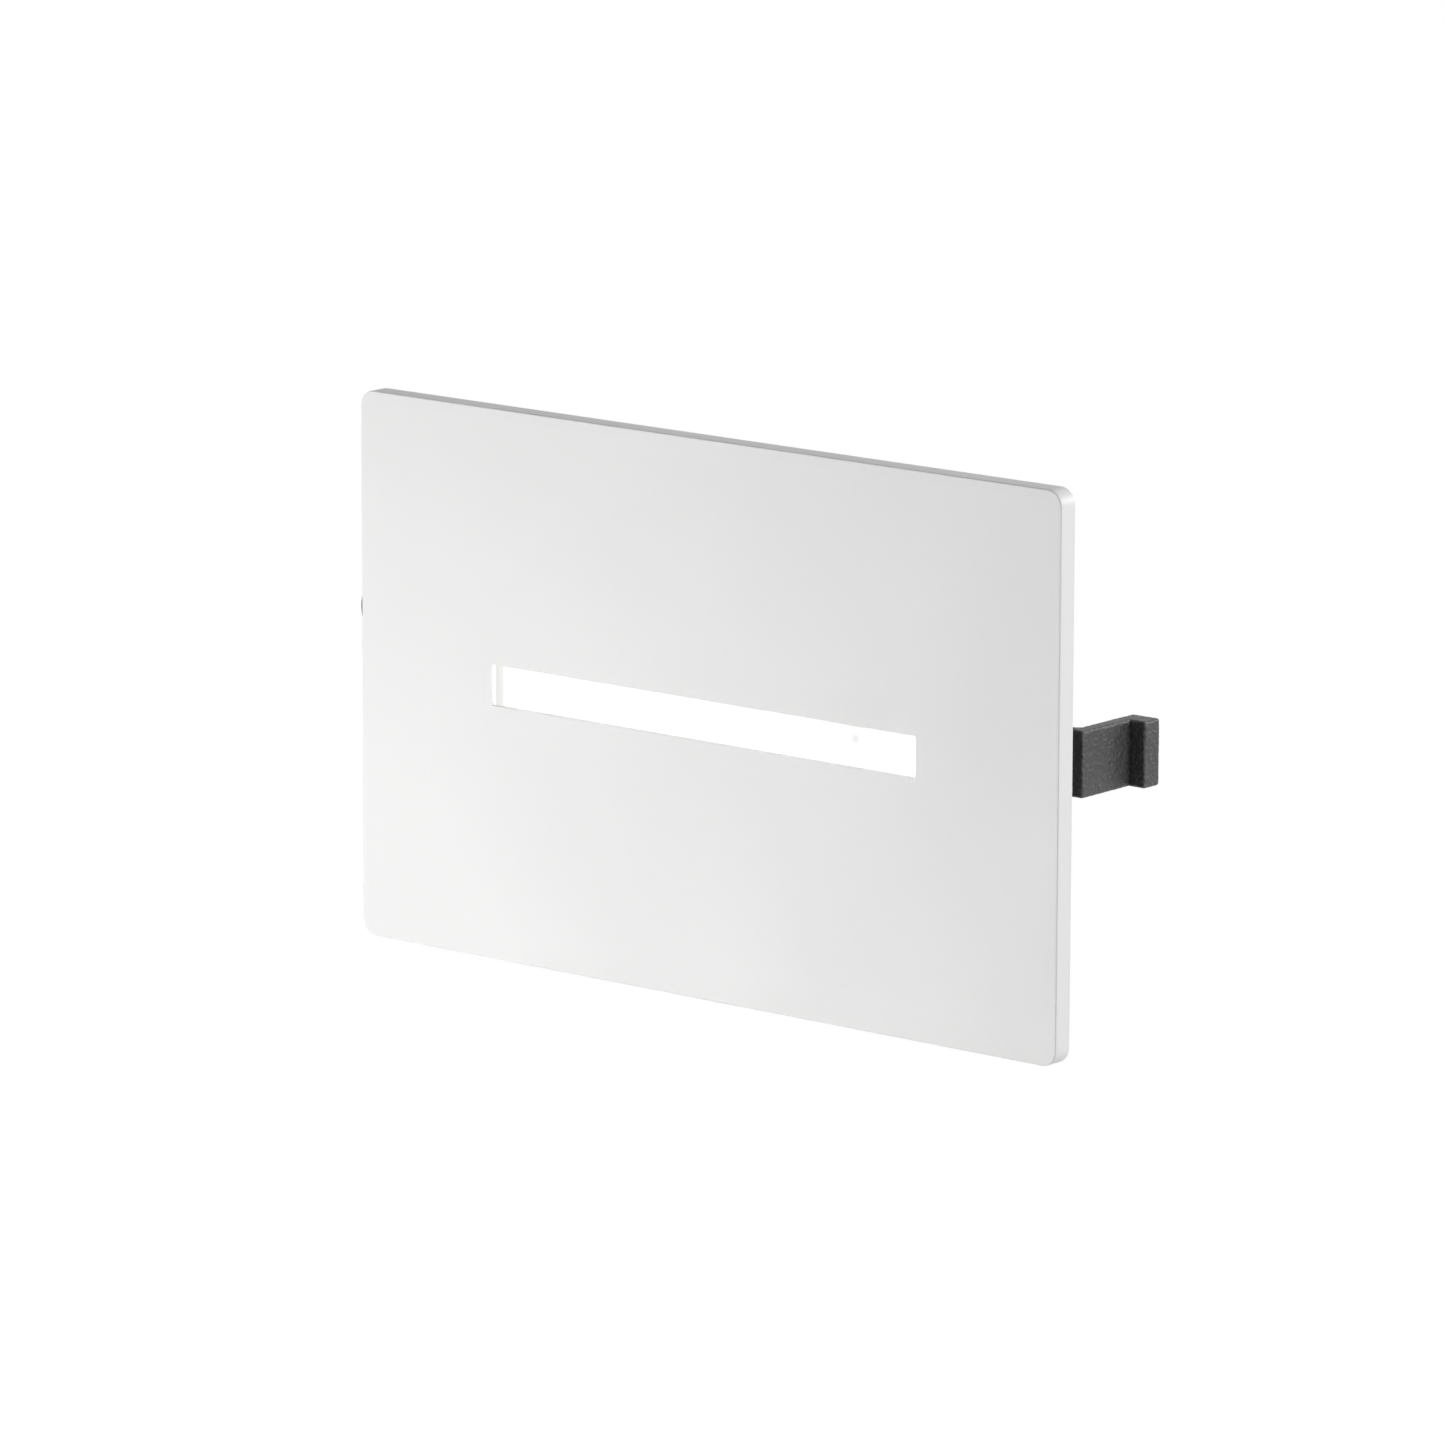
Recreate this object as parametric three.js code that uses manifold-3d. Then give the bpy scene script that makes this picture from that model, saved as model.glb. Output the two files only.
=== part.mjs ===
// A recessed LED step light: a white face plate with a long opal window, carried on a cast frame
// that holds the light row, with a driver box behind it, a hook clip on the right and a sprung arm
// on the left that hold it in a wall opening. Millimetres.
//
// Everything is drawn as it is seen from the room: x to the right, y up, z out of the wall, with
// z = 0 on the wall's surface. One turn of the outer group then stands it up: world +Z is up and
// world +Y goes into the wall.

import * as THREE from 'three';
import { mergeVertices } from 'three/addons/utils/BufferGeometryUtils.js';
import Module from 'manifold-3d';

const wasm = await Module();
wasm.setup();

// Clearances, shared by all pieces
const seat = 0.2; // between a piece and what it rests on
const slip = 0.3; // around a piece that goes into another
const shankFit = 0.12; // around a screw, pin or rivet, on the radius
const overrun = 2; // how far a cutting body passes the faces that it cuts

// The slot in the face plate, and the plate round it, which reaches a side's width past the trough
const slot = { width: 72.9, height: 5.65 };
const plate = { side: 18.25, height: 76, thick: 3, corner: 2.3, edge: 0.2 };
const gasket = { thick: 1, margin: 1.4 };

// The opal window in the slot
const lens = { recess: 0.8, flangeMargin: 3, flangeThick: 1.5, ribWall: 1.2, ribHeight: 1.4 };
const lensSeal = { thick: 0.8, windowMargin: 1 };

// The cast frame behind the plate, with a trough for the light row
const frameBox = { inset: 7, wall: 2, corner: 3, bossRadius: 2.2, bossHeight: 2.5 };
const plateBoss = { radius: 3, inset: 5, holeSpare: 0.4 };
const reflector = { depth: 7.2, flangeWidth: 2, flangeThick: 1.2, flangeDrop: 0.7 };
const reflectorBack = { endInset: 0.95, sideInset: 0.225 }; // from the slot's ends and sides
const ledBoard = { thick: 1.2, trim: 0.6, corner: 1 };
const pad = { thick: 0.5, trim: 1.1 };
const chip = { width: 3.5, height: 2.8, thick: 0.8, rim: 0.4, dish: 0.2, endMargin: 3.65 };
const chipCount = 8;
const sensorPitches = 3; // the sensor's place, in chip pitches right of the middle
const sensor = { radius: 1, height: 1.5, dome: 0.4 };
const lead = { width: 2.6, thick: 1.3 };

// The driver box on the back of the frame, as large as its board and the tallest part on it need
const housing = { wall: 2, corner: 3, endRoom: 1.4, headRoom: 0.5 };
const post = { radius: 3, boardGap: 0.4, edgeGap: 0.4 };
const board = { thick: 1.6, margin: 1.2, standOff: 2, corner: 1 };
const column = { sideInset: 2.7, endInset: 3.1 };
const rearSeal = { thick: 0.8, margin: 0.4 };
const cover = { thick: 1.8, ribHeight: 0.6, ribWidth: 1.6, ribPitch: 5, ribTrim: 16 };
const coverRibCount = 5;
const grommet = { x: 8, bore: 3.1, neck: 3.9, outerRim: 5, innerRim: 4.6, rimThick: 1.1 };

// What stands on the driver board, each with the place of its middle or its gap to a neighbour
const core = { x: -8, y: 3, width: 14, height: 13, depth: 9, leg: 2.6 };
const winding = { depth: 8.2, wrap: 1.6 };
const bulk = { gap: 6, y: 9.5, radius: 4, length: 14, groove: 0.4, bead: 1.2 };
const film = { x: -13, y: -10, width: 11, height: 5.5, depth: 8, round: 0.8 };
const bridge = { x: 17, y: 0, width: 6.5, height: 5, depth: 2.4, notch: 0.8 };
const fuse = { x: 20.5, gap: 0.6, radius: 1.7, length: 7, cap: 1.4, waist: 0.2 };
const choke = { gap: 1, y: 4, radius: 4, depth: 8, rim: 1, waist: 0.9 };
const terminal = { y: -12.4, width: 11, height: 8, depth: 8.5, pitch: 5, entry: 1.5, entryDepth: 5 };
const terminalScrew = { radius: 1.6, length: 3.4, fit: 0.2, holeDepth: 4, slotWidth: 0.6, slotDepth: 0.8 };

// The black hook clip on the right, which starts beside the trough
const hook = { start: 1.75, height: 9, flangeThick: 1.85, armThick: 2.05, footStep: 2.5, footThick: 3.25 };
const hookReach = { headRoom: 4.3, grip: 16.35, round: 0.35, gusset: 0.4 };
const hookScrewPlace = { along: 4, y: 2.3 };

// The sprung arm on the left, its bracket, which also starts beside the trough, its pin and spring
const bracket = { start: 0.75, thick: 1.2, flangeHalf: 10, earRadius: 3, earFoot: 3.2 };
const stopLip = { reach: 3.5, width: 1.2, half: 4 };
const bracketScrewPlace = { along: 2.5, y: 7 };
const pivot = { headRoom: 0.4, coilRoom: 1.6 };
const pin = { radius: 1.5, headRadius: 2.4, head: 0.9, endRadius: 1.9, end: 0.6 };
const arm = { angle: 29.3, length: 39.3, thick: 1.2, lug: 1.2, lugInner: 5.5, lugRadius: 2.8 };
const armWeb = { start: 0.5, lugLength: 11, taperEnd: 17, half: 3, tailHalf: 2.3, tailShort: 1.2 };
const tip = { length: 8, sideWall: 0.4, faceWall: 0.6, round: 0.3 };
const wire = { radius: 0.5, coilRadius: 3, pitch: 1.55, seatGap: 0.2, lowLeg: 5.4, highLeg: 7 };
const springTurns = 5;
const lugTurn = 20; // degrees from the arm to where the lug's round back begins

// Screws: head radius and height, shank radius and point
const plateScrew = { head: 2.6, rise: 1.6, shank: 1.25, length: 6, point: 0.8 };
const housingScrew = { head: 2.4, rise: 1.4, shank: 1.15, length: 7.6, point: 0.8 };
const coverScrew = { head: 2.4, rise: 1.2, shank: 1.15, length: 9, point: 0.8 };
const clipScrew = { head: 1.9, rise: 1.2, shank: 0.95, length: 5.6, point: 0.6 };
const boardScrew = { head: 1.9, rise: 1.1, shank: 0.9, length: 4.6, point: 0.6 };
const ledScrew = { head: 1.7, rise: 0.9, shank: 0.8, length: 3.2, point: 0.5 };
const driveDepthShare = 0.6; // of the head's height
const driveSpanShare = 0.55; // of the head's diameter
const driveWidthShare = 0.2; // of the head's diameter
const domeShare = 0.4; // of the head's height that is rounded over
const domeTopShare = 0.6; // of the head's radius that stays flat

// How finely round shapes are divided
const roundFacets = 20; // of a full circle
const postFacets = 14;
const screwFacets = 10;
const cornerSteps = 3; // of a quarter circle
const halfTurnSteps = 6; // of a half circle
const edgeSteps = 2; // of a rounded edge
const wireSides = 5;
const curlSteps = 8; // of one turn of wire
const gapSamples = 40; // of one turn of wire, where its gap is measured

// Levels, from the room to the back of the box
const plateBack = gasket.thick;
const plateFront = plateBack + plate.thick;
const frameFront = plateBack - seat;
const flangeFront = plateBack - seat;
const flangeBack = flangeFront - lens.flangeThick;
const sealBack = flangeBack - seat - lensSeal.thick;
const reflectorFront = sealBack - seat;
const reflectorFoot = reflectorFront - reflector.flangeDrop - reflector.flangeThick;
const reflectorRear = reflectorFront - reflector.depth;
const frameFloor = reflectorFoot - seat;
const frameRear = frameFloor - frameBox.wall;
const ledBoardFront = reflectorRear - seat;
const ledBoardRear = ledBoardFront - ledBoard.thick;
const padRear = ledBoardRear - seat - pad.thick;
const troughFloor = padRear - seat;
const troughRear = troughFloor - frameBox.wall;
const housingFront = frameRear - seat;
const saddleFront = troughRear - slip;
const saddleRear = saddleFront - housing.wall;
const boardFront = saddleRear - board.standOff;
const boardRear = boardFront - board.thick;
const partFoot = boardRear - seat;
const tallest = Math.max(core.depth, terminal.depth, choke.depth, film.depth, 2 * bulk.radius);
const housingRear = partFoot - tallest - housing.headRoom;
const sealRear = housingRear - seat - rearSeal.thick;
const coverFront = sealRear - seat;
const coverRear = coverFront - cover.thick;
const clipFront = frameRear - seat;

// Outlines that several pieces share
const flangeWidth = slot.width + 2 * lens.flangeMargin;
const flangeHeight = slot.height + 2 * lens.flangeMargin;
const troughWidth = flangeWidth + 2 * slip;
const troughHeight = flangeHeight + 2 * slip;
const troughOuterWidth = troughWidth + 2 * frameBox.wall;
const troughOuterHeight = troughHeight + 2 * frameBox.wall;
const plateWidth = troughOuterWidth + 2 * plate.side;
const frameWidth = plateWidth - 2 * frameBox.inset;
const frameHeight = plate.height - 2 * frameBox.inset;
const plateBossX = frameWidth / 2 - frameBox.wall - plateBoss.inset;
const plateBossY = frameHeight / 2 - frameBox.wall - plateBoss.inset;
const chokeX = core.x - core.width / 2 - choke.gap - choke.radius;
const bulkX = core.x + core.width / 2 + bulk.gap + bulk.length / 2;
const fuseY = bridge.y - bridge.height / 2 - fuse.gap - fuse.length / 2;
const boardWidth = 2 * (choke.radius + board.margin - chokeX);
const boardHeight = 2 * (terminal.height / 2 + board.margin - terminal.y);
const columnX = boardWidth / 2 - column.sideInset;
const columnY = boardHeight / 2 - column.endInset;
const housingWidth = boardWidth + 2 * (post.boardGap + 2 * post.radius + post.edgeGap);
const housingHeight = boardHeight + 2 * (housing.endRoom + housing.wall);
const postX = housingWidth / 2 - post.edgeGap - post.radius;
const postY = housingHeight / 2 - post.edgeGap - post.radius;
const hookStart = troughOuterWidth / 2 + hook.start;
const hookScrewX = hookStart + hookScrewPlace.along;
const bracketStart = -(troughOuterWidth / 2 + bracket.start);
const bracketScrewX = bracketStart - bracketScrewPlace.along;
const pivotX = bracketScrewX - clipScrew.head - pivot.headRoom - bracket.earFoot;
const pivotDepth = bracket.thick - clipFront + wire.coilRadius + wire.radius + pivot.coilRoom;
const armAngle = THREE.MathUtils.degToRad(arm.angle);
const webRear = wire.coilRadius + wire.radius + wire.seatGap;
const webFront = webRear + arm.thick;
const lugOuter = arm.lugInner + arm.lug;
const earInner = lugOuter + slip;
const earOuter = earInner + bracket.thick;
const reflectorBackSize = {
  width: slot.width - 2 * reflectorBack.endInset,
  height: slot.height - 2 * reflectorBack.sideInset,
};
const chipPitch = (reflectorBackSize.width - chip.width - 2 * chip.endMargin) / (chipCount - 1);
const sensorX = sensorPitches * chipPitch;

const finishes = {
  whiteCoat: [0xe9e8e6, 0.45, 0],
  opal: [0xfffaf0, 0.35, 0],
  foam: [0x2b2b2c, 0.9, 0],
  silicone: [0xd8d8d4, 0.6, 0],
  castAlloy: [0x9a9c9f, 0.5, 0.9],
  whitePlastic: [0xf2f2ef, 0.5, 0],
  boardWhite: [0xf0f0ea, 0.45, 0],
  padGrey: [0x8f9499, 0.85, 0],
  phosphor: [0xf4dd6a, 0.5, 0],
  sensorDark: [0x55555a, 0.3, 0],
  boxPlastic: [0x222224, 0.6, 0],
  boardGreen: [0x1f5a38, 0.5, 0],
  ferrite: [0x39393c, 0.7, 0],
  tape: [0xd9b43a, 0.4, 0],
  sleeveBlue: [0x27406f, 0.35, 0],
  filmRed: [0x9c3a2c, 0.4, 0],
  mouldBlack: [0x18181a, 0.55, 0],
  nickel: [0xb9bbbd, 0.3, 1],
  terminalGreen: [0x2c7a4c, 0.5, 0],
  leadWhite: [0xe4e2dc, 0.5, 0],
  zincSteel: [0xa9acae, 0.35, 1],
  hookBlack: [0x121213, 0.5, 0],
  springSteel: [0x6d7074, 0.3, 1],
  blackSteel: [0x1c1c1e, 0.45, 0.4],
  tipRubber: [0x0e0e0f, 0.8, 0],
};

// Turns a closed geometry into a solid that can be joined and cut.
function solid(geometry) {
  const bare = geometry.clone();
  bare.deleteAttribute('normal');
  bare.deleteAttribute('uv');
  const merged = mergeVertices(bare);
  return new wasm.Manifold(new wasm.Mesh({
    numProp: 3,
    vertProperties: new Float32Array(merged.attributes.position.array),
    triVerts: new Uint32Array(merged.index.array),
  }));
}

function geometryOf(body) {
  const made = body.getMesh();
  const geometry = new THREE.BufferGeometry();
  geometry.setAttribute('position', new THREE.BufferAttribute(new Float32Array(made.vertProperties), 3));
  geometry.setIndex(new THREE.BufferAttribute(new Uint32Array(made.triVerts), 1));
  geometry.computeVertexNormals();
  return geometry;
}

function join(first, ...others) {
  return others.reduce((whole, other) => whole.add(other), first);
}

function cut(first, ...others) {
  return others.reduce((whole, other) => whole.subtract(other), first);
}

// A named piece in one of the finishes above.
function piece(name, shape, finish) {
  const [color, roughness, metalness] = finishes[finish];
  const geometry = shape.isBufferGeometry ? shape : geometryOf(shape);
  const mesh = new THREE.Mesh(geometry, new THREE.MeshStandardMaterial({ color, roughness, metalness }));
  mesh.name = name;
  return mesh;
}

// A rectangle with round corners, centred on the origin.
function roundedOutline(width, height, radius) {
  const x = width / 2 - radius;
  const y = height / 2 - radius;
  const outline = new THREE.Shape();
  outline.absarc(x, y, radius, 0, Math.PI / 2);
  outline.absarc(-x, y, radius, Math.PI / 2, Math.PI);
  outline.absarc(-x, -y, radius, Math.PI, 1.5 * Math.PI);
  outline.absarc(x, -y, radius, 1.5 * Math.PI, 2 * Math.PI);
  return outline;
}

// An outline drawn in x and y, filled from one level of z to another.
function slabGeometry(outline, low, high, round, steps) {
  const geometry = new THREE.ExtrudeGeometry(outline, {
    depth: high - low - 2 * round,
    bevelEnabled: round > 0,
    bevelSize: round,
    bevelOffset: -round,
    bevelThickness: round,
    bevelSegments: edgeSteps,
    curveSegments: steps,
  });
  geometry.translate(0, 0, low + round);
  return geometry;
}

function slab(outline, low, high, round = 0, steps = cornerSteps) {
  return solid(slabGeometry(outline, low, high, round, steps));
}

// An outline drawn in x and z, filled from one height to another.
function upright(outline, low, high, round = 0, steps = halfTurnSteps) {
  const geometry = slabGeometry(outline, 0, high - low, round, steps);
  geometry.rotateX(Math.PI / 2);
  geometry.translate(0, high, 0);
  return solid(geometry);
}

function block(x, y, low, high, width, height) {
  const geometry = new THREE.BoxGeometry(width, height, high - low);
  geometry.translate(x, y, (low + high) / 2);
  return solid(geometry);
}

// A block whose rear face has its own size.
function taperedBlock(front, rear, low, high) {
  const geometry = new THREE.BoxGeometry(1, 1, high - low);
  const position = geometry.attributes.position;
  for (let i = 0; i < position.count; i += 1) {
    const face = position.getZ(i) > 0 ? front : rear;
    position.setX(i, Math.sign(position.getX(i)) * face.width / 2);
    position.setY(i, Math.sign(position.getY(i)) * face.height / 2);
  }
  geometry.translate(0, 0, (low + high) / 2);
  return solid(geometry);
}

// A round bar along z.
function bar(x, y, low, high, radius, facets = roundFacets) {
  const geometry = new THREE.CylinderGeometry(radius, radius, high - low, facets);
  geometry.rotateX(Math.PI / 2);
  geometry.translate(x, y, (low + high) / 2);
  return solid(geometry);
}

// A round bar along y.
function uprightBar(x, z, low, high, radius, facets = roundFacets) {
  const geometry = new THREE.CylinderGeometry(radius, radius, high - low, facets);
  geometry.translate(x, (low + high) / 2, z);
  return solid(geometry);
}

// A body turned about the z axis, from pairs of radius and level that start and end on the axis.
function turned(profile, facets = roundFacets) {
  const geometry = new THREE.LatheGeometry(profile.map(([r, level]) => new THREE.Vector2(r, level)), facets);
  geometry.rotateX(Math.PI / 2);
  return solid(geometry);
}

// The four places that mirror one place in both middle lines.
function mirrored(x, y) {
  return [[x, y], [-x, y], [-x, -y], [x, -y]];
}

// A pan-head screw with a cross drive: the head stands on z = 0, the shank goes down.
function screwBody(size) {
  const { head, rise, shank, length, point } = size;
  const body = turned([
    [0, -length],
    [shank - point / 2, -length],
    [shank, point - length],
    [shank, 0],
    [head, 0],
    [head, rise * (1 - domeShare)],
    [head * domeTopShare, rise],
    [0, rise],
  ], screwFacets);
  const span = 2 * head * driveSpanShare;
  const width = 2 * head * driveWidthShare;
  const floor = rise * (1 - driveDepthShare);
  return cut(
    body,
    block(0, 0, floor, rise + overrun, span, width),
    block(0, 0, floor, rise + overrun, width, span),
  );
}

// Places screws of one size at a level; those driven from behind are turned to point at the room.
function screws(name, size, places, level, fromBehind) {
  return places.map(([x, y], i) => {
    const label = places.length > 1 ? `${name}_${i + 1}` : name;
    const mesh = piece(label, screwBody(size), 'zincSteel');
    mesh.position.set(x, y, level);
    mesh.rotation.x = fromBehind ? Math.PI : 0;
    return mesh;
  });
}

function facePlate() {
  const outline = roundedOutline(plateWidth, plate.height, plate.corner);
  let body = slab(outline, plateBack, plateFront, plate.edge);
  const ribInner = [flangeWidth + 2 * slip, flangeHeight + 2 * slip];
  const ribOuter = ribInner.map((size) => size + 2 * lens.ribWall);
  const ribLow = plateBack - lens.ribHeight;
  const rib = cut(
    block(0, 0, ribLow, plateBack + plate.edge, ...ribOuter),
    block(0, 0, ribLow - overrun, plateBack, ...ribInner),
  );
  body = join(body, rib);
  const bossFoot = frameFloor + seat;
  const holeTop = frameRear - seat + plateScrew.length + plateBoss.holeSpare;
  for (const [x, y] of mirrored(plateBossX, plateBossY)) {
    const boss = bar(x, y, bossFoot, plateBack + plate.edge, plateBoss.radius, postFacets);
    const hole = bar(x, y, bossFoot - overrun, holeTop, plateScrew.shank + shankFit, screwFacets);
    body = cut(join(body, boss), hole);
  }
  return cut(body, block(0, 0, plateBack - overrun, plateFront + overrun, slot.width, slot.height));
}

function faceGasket() {
  const outer = [plateWidth - 2 * gasket.margin, plate.height - 2 * gasket.margin];
  const inner = [frameWidth + 2 * slip, frameHeight + 2 * slip];
  return cut(
    slab(roundedOutline(...outer, plate.corner), 0, gasket.thick - seat),
    slab(roundedOutline(...inner, frameBox.corner), -overrun, gasket.thick + overrun),
  );
}

function diffuserLens() {
  const tongue = [slot.width - 2 * seat, slot.height - 2 * seat];
  return join(
    block(0, 0, flangeBack, flangeFront, flangeWidth, flangeHeight),
    block(0, 0, flangeFront - lens.flangeThick / 2, plateFront - lens.recess, ...tongue),
  );
}

function lensSealRing() {
  const window = [slot.width + 2 * lensSeal.windowMargin, slot.height + 2 * lensSeal.windowMargin];
  return cut(
    block(0, 0, sealBack, flangeBack - seat, flangeWidth, flangeHeight),
    block(0, 0, sealBack - overrun, flangeBack + overrun, ...window),
  );
}

// The white funnel between the light row and the window.
function reflectorBody() {
  const mouth = {
    width: slot.width + 2 * lensSeal.windowMargin,
    height: slot.height + 2 * lensSeal.windowMargin,
  };
  const wide = [flangeWidth + 2 * reflector.flangeWidth, flangeHeight + 2 * reflector.flangeWidth];
  const back = [reflectorBackSize.width, reflectorBackSize.height];
  return cut(
    join(
      block(0, 0, reflectorRear, reflectorFront, flangeWidth, flangeHeight),
      block(0, 0, reflectorFoot, reflectorFoot + reflector.flangeThick, ...wide),
    ),
    taperedBlock(mouth, reflectorBackSize, reflectorRear, reflectorFront),
    block(0, 0, reflectorFront - seat, reflectorFront + overrun, mouth.width, mouth.height),
    block(0, 0, reflectorRear - overrun, reflectorRear + seat, ...back),
  );
}

// The cast frame: a shallow tray with a deeper trough across its middle.
function backFrame() {
  const { wall, corner, bossRadius, bossHeight } = frameBox;
  let body = cut(
    slab(roundedOutline(frameWidth, frameHeight, corner), frameRear, frameFront),
    slab(
      roundedOutline(frameWidth - 2 * wall, frameHeight - 2 * wall, corner - wall / 2),
      frameFloor,
      frameFront + overrun,
    ),
  );
  body = join(body, block(0, 0, troughRear, frameRear + seat, troughOuterWidth, troughOuterHeight));
  const clipPlaces = [
    [hookScrewX, hookScrewPlace.y],
    [hookScrewX, -hookScrewPlace.y],
    [bracketScrewX, bracketScrewPlace.y],
    [bracketScrewX, -bracketScrewPlace.y],
  ];
  for (const [x, y] of clipPlaces) {
    body = join(body, bar(x, y, frameFloor - seat, frameFloor + bossHeight, bossRadius, postFacets));
  }
  body = cut(body, block(0, 0, troughFloor, frameFront + overrun, troughWidth, troughHeight));
  for (const [x, y] of clipPlaces) {
    const hole = clipScrew.shank + shankFit;
    body = cut(body, bar(x, y, frameRear - overrun, frameFront + overrun, hole, screwFacets));
  }
  for (const [x, y] of mirrored(plateBossX, plateBossY)) {
    const hole = plateScrew.shank + slip;
    body = cut(body, bar(x, y, frameRear - overrun, frameFloor + overrun, hole, screwFacets));
  }
  for (const [x, y] of mirrored(columnX, columnY)) {
    const hole = housingScrew.shank + slip;
    body = cut(body, bar(x, y, frameRear - overrun, frameFloor + overrun, hole, screwFacets));
  }
  for (const x of ledScrewPlaces()) {
    const hole = ledScrew.shank + shankFit;
    body = cut(body, bar(x, 0, troughRear - overrun, troughFloor + overrun, hole, screwFacets));
  }
  return cut(body, leadWay(troughRear, troughFloor));
}

// The clear way that the flat lead has through the floors between the two boards.
function leadWay(low, high) {
  return block(0, 0, low - overrun, high + overrun, lead.width + 2 * slip, lead.thick + 2 * slip);
}

// The two screws of the light board lie midway between two chips.
function ledScrewPlaces() {
  return [-2 * chipPitch, 2 * chipPitch];
}

// A strip that lies in the trough with some room round it, and lets the screws and the lead through.
function troughStrip(trim, low, high) {
  const size = [troughWidth - 2 * trim, troughHeight - 2 * trim];
  let body = slab(roundedOutline(...size, ledBoard.corner), low, high);
  for (const x of ledScrewPlaces()) {
    body = cut(body, bar(x, 0, low - overrun, high + overrun, ledScrew.shank + slip, screwFacets));
  }
  return cut(body, leadWay(low, high));
}

// One light chip, standing on z = 0, with its dish towards the room.
function chipBody() {
  const dish = [chip.width - 2 * chip.rim, chip.height - 2 * chip.rim];
  return cut(
    block(0, 0, 0, chip.thick, chip.width, chip.height),
    block(0, 0, chip.thick - chip.dish, chip.thick + overrun, ...dish),
  );
}

function lightChips() {
  return Array.from({ length: chipCount }, (_, i) => {
    const mesh = piece(`led_chip_${i + 1}`, chipBody(), 'phosphor');
    mesh.position.set((i - (chipCount - 1) / 2) * chipPitch, 0, ledBoardFront + seat / 2);
    return mesh;
  });
}

function sensorBody() {
  return turned([
    [0, 0],
    [sensor.radius, 0],
    [sensor.radius, sensor.height - sensor.dome],
    [sensor.radius * domeTopShare, sensor.height],
    [0, sensor.height],
  ], screwFacets);
}

// The driver box: it straddles the trough, so its front has a channel across it.
function driverHousing() {
  const { wall, corner } = housing;
  const channel = troughOuterHeight + 2 * slip;
  const inner = roundedOutline(housingWidth - 2 * wall, housingHeight - 2 * wall, corner - wall / 2);
  let body = cut(
    slab(roundedOutline(housingWidth, housingHeight, corner), housingRear, housingFront),
    slab(inner, housingRear - overrun, housingFront - wall),
  );
  const saddleSize = [housingWidth - wall, channel + 2 * wall];
  body = join(body, block(0, 0, saddleRear, housingFront - wall / 2, ...saddleSize));
  for (const [x, y] of mirrored(columnX, columnY)) {
    body = join(body, bar(x, y, boardFront + seat, housingFront - wall / 2, post.radius, postFacets));
  }
  for (const [x, y] of mirrored(postX, postY)) {
    body = join(body, bar(x, y, housingRear, housingFront - wall / 2, post.radius, postFacets));
  }
  body = cut(body, block(0, 0, saddleFront, housingFront + overrun, housingWidth + overrun, channel));
  for (const [x, y] of mirrored(columnX, columnY)) {
    const deepest = frameFloor - housingScrew.length;
    const hole = housingScrew.shank + shankFit;
    body = cut(body, bar(x, y, deepest, housingFront + overrun, hole, screwFacets));
  }
  for (const [x, y] of boardScrewPlaces()) {
    const deepest = boardRear + boardScrew.length;
    const hole = boardScrew.shank + shankFit;
    body = cut(body, bar(x, y, boardFront - overrun, deepest, hole, screwFacets));
  }
  for (const [x, y] of mirrored(postX, postY)) {
    const deepest = coverRear + coverScrew.length;
    const hole = coverScrew.shank + shankFit;
    body = cut(body, bar(x, y, housingRear - overrun, deepest, hole, screwFacets));
  }
  const entry = uprightBar(
    grommet.x,
    grommetLevel(),
    -housingHeight / 2 - overrun,
    -housingHeight / 2 + wall + overrun / 2,
    grommet.neck + seat,
  );
  return cut(body, entry, leadWay(saddleRear, saddleFront));
}

function boardScrewPlaces() {
  return [[-columnX, columnY], [columnX, -columnY]];
}

function grommetLevel() {
  return housingRear + (partFoot - housingRear) / 2;
}

function driverBoard() {
  const hole = boardScrew.shank + slip;
  let body = slab(roundedOutline(boardWidth, boardHeight, board.corner), boardRear, boardFront);
  for (const [x, y] of boardScrewPlaces()) {
    body = cut(body, bar(x, y, boardRear - overrun, boardFront + overrun, hole, screwFacets));
  }
  return body;
}

// The transformer's core: an upright ring of ferrite with the winding through its window.
function transformerCore() {
  const { x, y, width, height, depth, leg } = core;
  return cut(
    block(x, y, partFoot - depth, partFoot, width, height),
    block(x, y, partFoot - depth - overrun, partFoot + overrun, width - 2 * leg, height - 2 * leg),
  );
}

function transformerWinding() {
  const { x, y, width, height, leg } = core;
  const outline = roundedOutline(width - 2 * leg - 2 * slip, height - 2 * leg - 2 * slip, winding.wrap);
  const body = slab(outline, partFoot - winding.depth, partFoot);
  return piece('transformer_winding', body, 'tape').translateX(x).translateY(y);
}

// The round capacitor lies along x on the board, with a rolled groove near its end.
function bulkCapacitor() {
  const { y, radius, length, groove, bead } = bulk;
  const half = length / 2;
  const body = turned([
    [0, -half],
    [radius - groove, -half],
    [radius, groove - half],
    [radius, -half + bead],
    [radius - groove, -half + bead + groove],
    [radius, -half + bead + 2 * groove],
    [radius, half - groove],
    [radius - groove, half],
    [0, half],
  ]);
  const mesh = piece('bulk_capacitor', body, 'sleeveBlue');
  mesh.position.set(bulkX, y, partFoot - radius);
  mesh.rotation.y = Math.PI / 2;
  return mesh;
}

function filmCapacitor() {
  const { x, y, width, height, depth, round } = film;
  const body = slab(roundedOutline(width, height, round), partFoot - depth, partFoot);
  return piece('film_capacitor', body, 'filmRed').translateX(x).translateY(y);
}

function bridgeRectifier() {
  const { x, y, width, height, depth, notch } = bridge;
  const body = cut(
    block(0, 0, partFoot - depth, partFoot, width, height),
    bar(-width / 2, 0, partFoot - depth - overrun, partFoot + overrun, notch, screwFacets),
  );
  return piece('bridge_rectifier', body, 'mouldBlack').translateX(x).translateY(y);
}

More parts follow.
